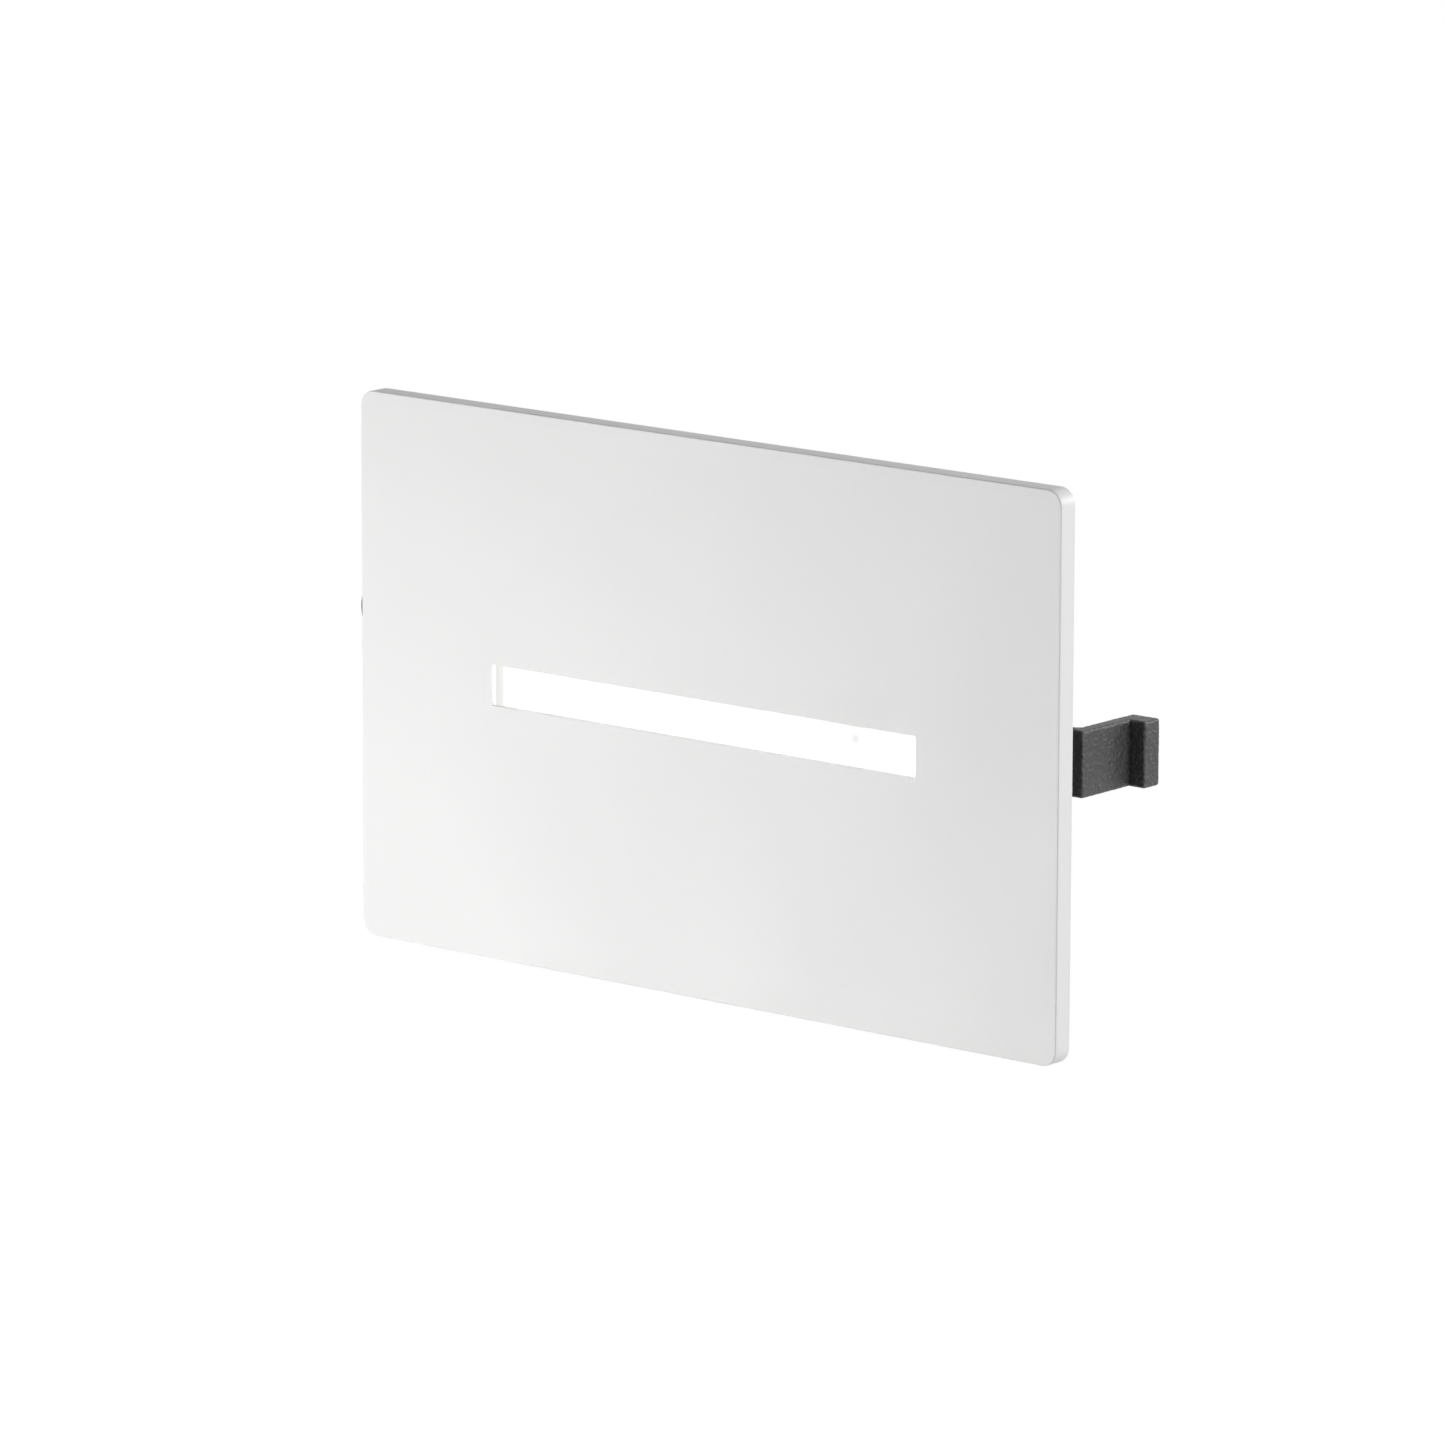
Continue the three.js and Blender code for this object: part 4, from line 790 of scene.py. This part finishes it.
def repeatTree():
    # copies one shape along a line, for ribs and the like
    tree, nodes, given, out = treeWith(
        "repeatAlong", "GeometryNodeTree",
        {"Shape": "Geometry", "Count": "Int", "Start": "Vector", "Step": "Vector",
         "Material": "Material"},
        {"Shape": "Geometry"})
    line = nodes.shape("MeshLine", {
        "Count": given["Count"], "Start Location": given["Start"], "Offset": given["Step"]})
    copies = nodes.shape("InstanceOnPoints", {"Points": line, "Instance": given["Shape"]})
    nodes.coated(copies, given["Material"], out["Shape"])
    return tree


repeatAlong = repeatTree()


def rearCover():
    low, high, pitch = cover["low"], cover["high"], coverRib["pitch"]
    body = slab(box["size"], box["corner"], low, high, cover["edge"], steps=box["steps"])
    rib = slab(coverRib["size"], coverRib["corner"], high - coverRib["root"],
               high + coverRib["height"], coverRib["edge"], steps=coverRib["steps"])
    first = -(coverRib["count"] - 1) / 2 * pitch
    grow(rib, repeatAlong, {
        "Count": coverRib["count"], "Start": (0.0, 0.0, first), "Step": (0.0, 0.0, pitch),
        "Material": finishes["boxPlastic"]})
    body = join(body, rib)
    return cut(body, *bars(box["posts"], low - overrun, high + overrun, cover["screwHole"]))


def cableGrommet():
    foot, outside, inside, top = grommet["levels"]
    bore, neck, outer, inner = (grommet[key] for key in ("bore", "neck", "outerRim", "innerRim"))
    across, down = grommet["bevel"]
    profile = [
        (bore, foot), (outer - across, foot), (outer, outside - down), (outer, outside),
        (neck, outside), (neck, inside), (inner, inside), (inner, top - down),
        (inner - across, top), (bore, top)]
    profile = eased(profile, grommet["ease"], steps=grommet["easeSteps"])
    return turned(profile + profile[:1], inlet["place"], "z", grommet["sides"])


finished(driverHousing(), "driverHousing", "boxPlastic", "box_plastic", "driver_housing")
finished(ring(rearSeal), "rearGasket", "foam", "foam", "rear_gasket")
finished(rearCover(), "rearCover", "boxPlastic", "box_plastic", "rear_cover")
finished(cableGrommet(), "cableGrommet", "rubber", "foam", "cable_grommet")
print("frame and box made")


# The hook clip on the right, with a cast pebbled skin

hook = {"start": 43.5, "front": 6.2, "flangeBack": 8.05, "armInner": 54.1, "armOuter": 56.15,
        "footEnd": 58.65, "grip": 16.35, "footBack": 19.6, "gusset": 0.4, "half": 4.5, "rim": 0.4,
        "rimSteps": 5, "hole": 1.25, "pitch": 0.25, "pebble": 0.42, "swell": 0.042,
        "sharp": 60}
# share: how densely the pebbles lie along each axis; rest: the noise level that stays in place;
# gain: the noise seldom leaves half of its range, so it is doubled
pebbleSkin = {"share": (1.0, 0.6, 1.0), "rest": 0.62, "gain": 2.0, "detail": 1.0, "cuts": 1}


def pebbleTree():
    # pushes the surface in and out by a fine noise
    tree, nodes, given, out = treeWith(
        "pebbledSkin", "GeometryNodeTree",
        {"Shape": "Geometry", "Pebble Size": "Float", "Swell": "Float", "Material": "Material"},
        {"Shape": "Geometry"})
    values = {0: nodes.shape("InputPosition"), 1: pebbleSkin["share"]}
    noise = nodes.shader("TexNoise", {
        "Vector": nodes.shader("VectorMath", values, operation="MULTIPLY"),
        "Scale": nodes.math("DIVIDE", 1.0, given["Pebble Size"]), "Detail": pebbleSkin["detail"]})
    gain = nodes.times(given["Swell"], pebbleSkin["gain"])
    amount = nodes.times(nodes.less(noise, pebbleSkin["rest"]), gain)
    values = {"Vector": nodes.shape("InputNormal"), "Scale": amount}
    moved = nodes.shape("SetPosition", {
        "Geometry": nodes.shape("SubdivideMesh", {
            "Mesh": given["Shape"], "Level": pebbleSkin["cuts"]}),
        "Offset": nodes.shader("VectorMath", values, operation="SCALE")})
    nodes.coated(moved, given["Material"], out["Shape"])
    return tree


pebbledSkin = pebbleTree()


def hookClip():
    front, flange, gusset = hook["front"], hook["flangeBack"], hook["gusset"]
    inner, outer = hook["armInner"], hook["armOuter"]
    outline = [
        (hook["start"], front), (hook["start"], flange), (inner - gusset, flange),
        (inner, flange + gusset), (inner, hook["footBack"]), (hook["footEnd"], hook["footBack"]),
        (hook["footEnd"], hook["grip"]), (outer, hook["grip"]), (outer, front)]
    body = prism(outline, -hook["half"], hook["half"], "z")
    body = soften(body, hook["rim"], hook["rimSteps"])
    body = cut(body, *bars(clipBosses["hook"], front - overrun, flange + overrun, hook["hole"]))
    return grow(gridded(body, hook["pitch"]), pebbledSkin, {
        "Pebble Size": hook["pebble"], "Swell": hook["swell"], "Material": finishes["pebbleBlack"]})


finished(hookClip(), "hookClip", "pebbleBlack", "hook_black", "hook_clip", sharp=hook["sharp"])


# The left clip: a pressed bracket, a riveted pin, a sprung arm with a rubber tip, and its spring

hinge = {"place": (-50.5, 12.5), "angle": 29.3}
bracket = {"halfBase": [(-57.2, -4.0), (-53.7, -8.2), (-47.3, -8.2), (-47.3, -10.0),
                        (-42.5, -10.0)],
           "corner": 0.6, "cornerSteps": 3, "low": 6.2, "high": 7.4, "ear": (7.0, 8.2),
           "earRadius": 3.0, "earFoot": 3.2, "earSteps": 24, "lip": (-57.2, -56.0),
           "lipHalf": 4.0, "lipRoot": 0.2, "lipGap": 0.3, "hole": 1.25, "pinHole": 1.62,
           "rim": 0.12}
pin = {"radius": 1.5, "head": 2.4, "headHeight": 0.9, "headRim": 0.25, "crownDrop": 0.22,
       "crownShares": (0.86, 0.5), "end": 1.9, "endHeight": 0.6, "endRim": 0.3, "endShare": 0.7,
       "half": 8.32, "ease": 0.12, "easeSteps": 3}
armShape = {"start": 0.5, "lugOuter": 6.7, "lugInner": 5.5, "lugLength": 11.0, "taperEnd": 17.0,
            "half": 3.0, "tailStart": 31.0, "tailStep": 0.3, "tailHalf": 2.3, "tailEnd": 38.1,
            "tailSteps": 16, "rear": 3.7, "front": 4.9, "lugRadius": 2.8, "lugTurn": (200, 380),
            "lugSteps": 24, "bore": 1.62, "rim": 0.12, "bead": (12.5, 2.2), "beadCorner": 1.09,
            "beadMiddle": 23.0, "beadRoot": 0.3, "beadHeight": 0.25, "beadEdge": 0.2,
            "beadSteps": 8}
tipShape = {"start": 31.3, "end": 39.28, "half": 3.0, "low": 2.8, "high": 5.8, "edge": 0.3,
            "edgeSteps": 5, "steps": 24, "pocketHalf": 2.6, "pocketEnd": 38.4,
            "pocketLow": 3.4, "pocketHigh": 5.2, "pocketSteps": 16}
lean = math.radians(hinge["angle"])
pinX, pinY = hinge["place"]
armPlace = Matrix((
    (-math.cos(lean), -math.sin(lean), 0, pinX),
    (math.sin(lean), -math.cos(lean), 0, pinY),
    (0, 0, 1, 0),
    (0, 0, 0, 1)))


def lipDepth():
    # how deep the resting arm's room side lies behind the lip's right edge
    along = (pinX - armShape["front"] * math.sin(lean) - bracket["lip"][1]) / math.cos(lean)
    depth = pinY - armShape["front"] * math.cos(lean) + along * math.sin(lean)
    return depth - bracket["lipGap"] / math.cos(lean)


def springBracket():
    low, high, foot = bracket["low"], bracket["high"], bracket["earFoot"]
    base = bracket["halfBase"] + [(x, -z) for x, z in bracket["halfBase"][::-1]]
    base = eased(base, bracket["corner"], steps=bracket["cornerSteps"])
    left, right = bracket["lip"]
    lip = block((left + right) / 2, 0, low + bracket["lipRoot"], lipDepth(), right - left,
                2 * bracket["lipHalf"])
    outline = [(pinX - foot, low), (pinX + foot, low), (pinX + foot, high)]
    outline += arc(pinX, pinY, bracket["earRadius"], 0, 180, bracket["earSteps"])
    outline.append((pinX - foot, high))
    inner, outer = bracket["ear"]
    body = join(prism(base, low, high), lip, prism(outline, inner, outer, "z"),
                prism(outline, -outer, -inner, "z"))
    return soften(cut(
        body, *bars(clipBosses["bracket"], low - overrun, high + overrun, bracket["hole"]),
        *bars([hinge["place"]], -outer - overrun, outer + overrun, bracket["pinHole"], "z")),
        bracket["rim"])


def hingePin():
    half, radius, head, end = pin["half"], pin["radius"], pin["head"], pin["end"]
    top, foot = half + pin["headHeight"], -half - pin["endHeight"]
    wide, narrow = pin["crownShares"]
    profile = [(0, foot), (end * pin["endShare"], foot), (end, foot + pin["endRim"]), (end, -half),
               (radius, -half), (radius, half), (head, half), (head, half + pin["headRim"]),
               (head * wide, top - pin["crownDrop"]), (head * narrow, top), (0, top)]
    return turned(eased(profile, pin["ease"], False, pin["easeSteps"]), hinge["place"], "z")


def springArm():
    # drawn along x from the pin, with its room side at higher y, then laid at its angle
    a = armShape
    inner, outer, rear, front = a["lugInner"], a["lugOuter"], a["rear"], a["front"]
    outline = [(a["start"], -outer), (a["lugLength"], -outer), (a["taperEnd"], -a["half"]),
               (a["tailStart"] - a["tailStep"], -a["half"]), (a["tailStart"], -a["tailHalf"])]
    outline += arc(a["tailEnd"] - a["tailHalf"], 0, a["tailHalf"], -90, 90, a["tailSteps"])
    outline += [(x, -z) for x, z in outline[4::-1]]
    lug = [(a["start"], front), (a["lugLength"], front), (a["lugLength"], rear)]
    lug += [(-x, y) for x, y in arc(0, 0, a["lugRadius"], *a["lugTurn"], a["lugSteps"])]
    body = join(prism(outline, rear, front), prism(lug, inner, outer, "z"),
                prism(lug, -outer, -inner, "z"))
    bead = slab(a["bead"], a["beadCorner"], front - a["beadRoot"], front + a["beadHeight"],
                a["beadEdge"], steps=a["beadSteps"])
    bead.data.transform(Matrix.Translation((a["beadMiddle"], 0, 0)))
    body = join(body, bead)
    body = cut(body, *bars([(0, 0)], -outer - overrun, outer + overrun, a["bore"], "z"))
    soften(body, a["rim"])
    body.data.transform(armPlace)
    return body


def armTip():
    t = tipShape
    loops, levels = [], []
    for inset, rise in rim(t["edge"], t["edgeSteps"]):
        radius, start = t["half"] - inset, t["start"] + inset
        loop = arc(t["end"] - t["half"], 0, radius, -90, 90, t["steps"])
        loops.append([(start, -radius)] + loop + [(start, radius)])
        levels.append(t["low"] + rise)
    levels += [t["low"] + t["high"] - level for level in levels[::-1]]
    body = stacked(loops + loops[::-1], levels)
    half, start = t["pocketHalf"], t["start"] - overrun
    middle = arc(t["pocketEnd"] - half, 0, half, -90, 90, t["pocketSteps"])
    pocket = [(start, -half)] + middle + [(start, half)]
    body = cut(body, prism(pocket, t["pocketLow"], t["pocketHigh"]))
    body.data.transform(armPlace)
    return body


finished(springBracket(), "springBracket", "zincSteel", "zinc_steel", "spring_bracket")
finished(hingePin(), "hingePin", "zincSteel", "zinc_steel", "hinge_pin")
finished(springArm(), "springArm", "blackSteel", "black_steel", "spring_arm", rides="sprung_arm")
finished(armTip(), "armTip", "rubber", "tip_rubber", "arm_tip", rides="sprung_arm")

coil = {"radius": 3.0, "wire": 0.5, "pitch": 1.55, "turns": 5, "lowLeg": 5.4, "highLeg": 7.0,
        "footReach": 4.4, "steps": 40, "legSteps": 4, "sides": 14}


def wireTree():
    # a round wire along a line of edges
    tree, nodes, given, out = treeWith(
        "wireAlong", "GeometryNodeTree",
        {"Line": "Geometry", "Wire Radius": "Float", "Sides": "Int", "Material": "Material"},
        {"Wire": "Geometry"})
    section = nodes.shape("CurvePrimitiveCircle", {
        "Resolution": given["Sides"], "Radius": given["Wire Radius"]})
    wire = nodes.shape("CurveToMesh", {
        "Curve": nodes.shape("MeshToCurve", {0: given["Line"]}), "Profile Curve": section,
        "Fill Caps": True})
    nodes.coated(wire, given["Material"], out["Wire"])
    return tree


wireAlong = wireTree()


def springLine():
    # out along the bracket at the low end, round the pin, and out along the arm at the high end
    radius, lowLeg, legSteps = coil["radius"], coil["lowLeg"], coil["legSteps"]
    tilt = math.atan2(lowLeg, radius) - math.acos(coil["footReach"] / math.hypot(radius, lowLeg))
    begin = math.pi / 2 + tilt - lean
    end = math.pi / 2 + 2 * math.pi * coil["turns"]
    rise = coil["pitch"] * (end - begin) / (2 * math.pi)

    def onCoil(share):
        turn = begin + (end - begin) * share
        return Vector((-radius * math.cos(turn), radius * math.sin(turn), rise * (share - 0.5)))

    footWay = Vector((-math.sin(begin), -math.cos(begin), 0)) * lowLeg
    armWay = Vector((math.sin(end), math.cos(end), 0)) * coil["highLeg"]
    count = coil["steps"] * coil["turns"]
    points = [onCoil(0) + footWay * (1 - k / legSteps) for k in range(legSteps)]
    points += [onCoil(i / count) for i in range(count + 1)]
    points += [onCoil(1) + armWay * (k + 1) / legSteps for k in range(legSteps)]
    return points, rise


def torsionSpring():
    points, rise = springLine()
    shape = bmesh.new()
    spots = [shape.verts.new(armPlace @ point) for point in points]
    for a, b in zip(spots, spots[1:]):
        shape.edges.new((a, b))
    body = grow(objectFrom(shape), wireAlong, {
        "Wire Radius": coil["wire"], "Sides": coil["sides"], "Material": finishes["springSteel"]})
    finished(body, "torsionSpring", "springSteel", "spring_steel", "torsion_spring", rides=None)
    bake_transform(body)


torsionSpring()
print("clips made")


# Screws: one tree draws a pan head with a cross recess, a threaded shank and a point. The head's
# sizes are shares of its radius or rise. The thread's are millimetres, and its pitch is a share of
# the shank's radius

pan = {"sides": 32, "rings": 10, "crownStart": 0.4, "crownFall": 0.6}
cross = {"span": 1.15, "width": 0.3, "depth": 1.2, "sides": 16, "top": 0.36, "bottom": 0.12,
         "coneDepth": 0.76, "coneLevel": 0.26}
thread = {"sides": 20, "depth": 0.12, "tip": 0.12, "overlap": 0.1, "steps": 18, "runOut": 0.3,
          "ridge": 0.16, "ridgeSides": 4, "pitchShare": 0.7}


def screwTree():
    tree, n, given, out = treeWith(
        "panScrew", "GeometryNodeTree",
        {"Places": "Geometry",
         **floats("Head Radius", "Head Rise", "Shank Radius", "Length", "Point", "Pitch"),
         "Turn": "Vector", "Material": "Material"},
        {"Screws": "Geometry"})
    rise, radius = given["Head Rise"], given["Head Radius"]

    def moved(shape, height):
        spot = n.shader("CombineXYZ", {2: height})
        return n.shape("Transform", {"Geometry": shape, "Translation": spot})

    head = n.shape("MeshCylinder", {
        "Vertices": pan["sides"], "Side Segments": pan["rings"], "Radius": radius, "Depth": rise})
    head = moved(head, n.times(rise, 0.5))
    x, y, z = n.add("ShaderNodeSeparateXYZ", {0: n.shape("InputPosition")}).outputs
    above = n.math("DIVIDE", n.less(n.math("DIVIDE", z, rise), pan["crownStart"]),
                   1 - pan["crownStart"])
    fall = n.times(n.math("POWER", n.math("MAXIMUM", above, 0.0), 2.0), pan["crownFall"])
    narrow = n.math("SQRT", n.less(1.0, fall))
    domed = n.shader("CombineXYZ", {0: n.times(x, narrow), 1: n.times(y, narrow), 2: z})
    head = n.shape("SetPosition", {"Geometry": head, "Position": domed})

    span, width = n.times(radius, cross["span"]), n.times(radius, cross["width"])
    depth = n.times(rise, cross["depth"])
    wings = []
    for first, second in ((span, width), (width, span)):
        size = n.shader("CombineXYZ", {0: first, 1: second, 2: depth})
        wings.append(moved(n.shape("MeshCube", {"Size": size}), rise))
    middle = n.shape("MeshCone", {
        "Vertices": cross["sides"], "Radius Top": n.times(radius, cross["top"]),
        "Radius Bottom": n.times(radius, cross["bottom"]),
        "Depth": n.times(rise, cross["coneDepth"])})
    wings.append(moved(middle, n.times(rise, cross["coneLevel"])))
    recess = n.add("GeometryNodeMeshBoolean", {"Mesh 1": head}, operation="DIFFERENCE",
                   solver="MANIFOLD")
    for wing in wings:
        n.plug(wing, recess.inputs["Mesh 2"])

    straight = n.less(given["Length"], given["Point"])
    core = n.less(given["Shank Radius"], thread["depth"])
    shank = n.shape("MeshCylinder", {
        "Vertices": thread["sides"], "Radius": core,
        "Depth": n.math("ADD", straight, 2 * thread["overlap"])})
    point = n.shape("MeshCone", {
        "Vertices": thread["sides"], "Radius Top": core, "Radius Bottom": thread["tip"],
        "Depth": given["Point"]})
    ridge = n.shape("CurveSpiral", {
        "Resolution": thread["steps"], "Rotations": n.math("DIVIDE", straight, given["Pitch"]),
        "Start Radius": core, "End Radius": core, "Height": n.less(straight, thread["runOut"])})
    section = n.shape("CurvePrimitiveCircle", {
        "Resolution": thread["ridgeSides"], "Radius": thread["ridge"]})
    ridge = n.shape("CurveToMesh", {
        "Curve": ridge, "Profile Curve": section, "Fill Caps": True})

    whole = n.add("GeometryNodeJoinGeometry")
    for shape in (recess.outputs[0],
                  moved(shank, n.less(thread["overlap"], n.times(straight, 0.5))),
                  moved(point, n.times(given["Length"], -1.0)),
                  moved(ridge, n.times(straight, -1.0))):
        n.plug(shape, whole.inputs[0])
    copies = n.shape("InstanceOnPoints", {
        "Points": given["Places"], "Instance": whole.outputs[0], "Rotation": given["Turn"]})
    n.coated(copies, given["Material"], out["Screws"])
    return tree


panScrew = screwTree()
frontTurn, rearTurn = (math.pi / 2, 0.0, 0.0), (-math.pi / 2, 0.0, 0.0)

# sizes: head radius, rise, shank radius, length and point. The head is at the rear where no turn
# is given
screwKinds = {
    "plateScrews": {"node": "plate_screw", "sizes": (2.6, 1.8, 1.25, 5.8, 0.8), "seat": 6.0,
                    "places": bosses["places"]},
    "housingScrews": {"node": "housing_screw", "sizes": (2.4, 1.6, 1.15, 7.4, 0.8), "seat": 4.0,
                      "turn": frontTurn, "places": boxScrews["places"]},
    "coverScrews": {"node": "cover_screw", "sizes": (2.4, 1.4, 1.15, 8.8, 0.8), "seat": 32.0,
                    "places": box["posts"]},
    "hookScrews": {"node": "hook_screw", "sizes": (1.9, 1.4, 0.95, 5.4, 0.6), "seat": 8.05,
                   "places": clipBosses["hook"]},
    "bracketScrews": {"node": "bracket_screw", "sizes": (1.9, 1.4, 0.95, 5.4, 0.6), "seat": 7.4,
                      "places": clipBosses["bracket"]},
    "boardScrews": {"node": "board_screw", "sizes": (1.9, 1.1, 0.9, 4.6, 0.6), "seat": 19.5,
                    "places": boxScrews["places"][1::2]},
    "ledBoardScrews": {"node": "led_board_screw", "sizes": (1.7, 0.9, 0.8, 3.2, 0.5), "seat": 9.1,
                       "turn": frontTurn, "places": lightScrews["places"]},
}
screwSharp = 32


def screwSet(name, kind):
    shape = bmesh.new()
    for x, z in kind["places"]:
        shape.verts.new((x, kind["seat"], z))
    head, rise, shank, length, point = kind["sizes"]
    body = grow(objectFrom(shape), panScrew, {
        "Head Radius": head, "Head Rise": rise, "Shank Radius": shank, "Length": length,
        "Point": point, "Pitch": shank * thread["pitchShare"],
        "Turn": kind.get("turn", rearTurn), "Material": finishes["zincSteel"]})
    stands = [f"{kind['node']}_{i + 1}" for i in range(len(kind["places"]))]
    finished(body, name, "zincSteel", "zinc_steel", *stands, sharp=screwSharp)


for name, kind in screwKinds.items():
    screwSet(name, kind)
print("screws made:", len(screwKinds), "kinds")


# CAD solids that stay, with the finish each one has

chipCount = 8
stays = {
    "reflector": "whitePlastic", "led_board": "boardWhite", "thermal_pad": "padGrey",
    "light_sensor": "sensorDark", "led_lead": "leadWhite", "driver_board": "boardGreen",
    "transformer_core": "ferrite", "transformer_winding": "tape", "bulk_capacitor": "sleeveBlue",
    "film_capacitor": "filmRed", "bridge_rectifier": "mouldBlack", "fuse": "nickel",
    "choke": "ferrite", "terminal_block": "terminalGreen", "terminal_screw_1": "nickel",
    "terminal_screw_2": "nickel", **{f"led_chip_{i + 1}": "phosphor" for i in range(chipCount)}}
for name, coat in stays.items():
    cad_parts[name].material_slots[0].material = finishes[coat]
print("inner pieces dressed")


# Floor, light and camera

def seenRays(nodes):
    # 1 where the camera sees the surface, straight or in a mirror or through glass
    rays = nodes.add("ShaderNodeLightPath").outputs
    bent = nodes.math("MAXIMUM", rays["Is Glossy Ray"], rays["Is Transmission Ray"])
    return nodes.math("MAXIMUM", rays["Is Camera Ray"], bent)


def cleared(tree):
    tree.nodes.clear()
    return Nodes(tree)


def floorFinish(values):
    # a pale floor that still takes a shadow
    material = bpy.data.materials.new("floor")
    material.use_nodes = True
    nodes = cleared(material.node_tree)
    base = nodes.shader("BsdfDiffuse", {"Color": shade(values["color"])})
    glow = nodes.shader("Emission", {"Strength": nodes.times(seenRays(nodes), values["glow"])})
    both = nodes.shader("AddShader", {0: base, 1: glow})
    nodes.add("ShaderNodeOutputMaterial", {"Surface": both})
    return material


ground = {"level": -600.0, "half": 1500.0, "color": 0.82, "glow": 0.84}
shape = bmesh.new()
bmesh.ops.create_grid(shape, x_segments=1, y_segments=1, size=ground["half"] * mm)
floor = objectFrom(shape)
floor.name = "floor"
floor.location = (0, 0, ground["level"] * mm)
floor.data.materials.append(floorFinish(ground))

studio = {"ambient": 0.19, "seen": 1.0}
world = bpy.data.worlds.new("studio")
scene.world = world
world.use_nodes = True
nodes = cleared(world.node_tree)
sky, backdrop = (
    nodes.shader("Background", {"Color": shade(1.0), "Strength": studio[key]}) for key in studio)
chosen = nodes.shader("MixShader", {0: seenRays(nodes), 1: sky, 2: backdrop})
nodes.add("ShaderNodeOutputWorld", {"Surface": chosen})

# each lamp: place and what it looks at in millimetres, its width and height, and its power in watts
lamps = {
    "keyLamp": {"place": (-380, -480, -120), "aim": (0, 0, 0), "size": (420, 420), "power": 1.44},
    "lowLamp": {"place": (-260, -330, -230), "aim": (0, 0, 0), "size": (260, 260), "power": 0.34},
    "beamLamp": {"place": (-380, -480, -160), "aim": (-60, 0, -30), "size": (200, 200),
                 "power": 0.09, "spread": 50},
    "sideLamp": {"place": (833, 274, 373), "aim": (50, 5, 0), "size": (220, 220), "power": 2.1},
    "edgeLamp": {"place": (440, 650, 270), "aim": (50, 5, 0), "size": (160, 160), "power": 2.0},
    "rakeLamp": {"place": (850, -55, 60), "aim": (40, 0, 0), "size": (90, 400), "power": 1.8},
}
for name, lamp in lamps.items():
    light = bpy.data.lights.new(name, "AREA")
    light.shape = "RECTANGLE"
    light.size, light.size_y = (side * mm for side in lamp["size"])
    light.energy = lamp["power"]
    light.spread = math.radians(lamp.get("spread", 180))
    holder = bpy.data.objects.new(name, light)
    scene.collection.objects.link(holder)
    holder.location = Vector(lamp["place"]) * mm
    way = Vector(lamp["aim"]) - Vector(lamp["place"])
    holder.rotation_euler = way.to_track_quat("-Z", "Y").to_euler()

view = {"place": (0.7524, -0.91323, 0.24544), "yaw": 39.46, "down": 11.76, "roll": 0.182,
        "lens": 226.12}
camera = bpy.data.objects.new("camera", bpy.data.cameras.new("camera"))
scene.collection.objects.link(camera)
camera.data.lens = view["lens"]
camera.matrix_world = (
    Matrix.Translation(view["place"])
    @ Matrix.Rotation(math.radians(view["yaw"]), 4, "Z")
    @ Matrix.Rotation(math.radians(90 - view["down"]), 4, "X")
    @ Matrix.Rotation(math.radians(view["roll"]), 4, "Z"))
scene.camera = camera
scene.view_settings.view_transform = "Standard"
print("studio made")
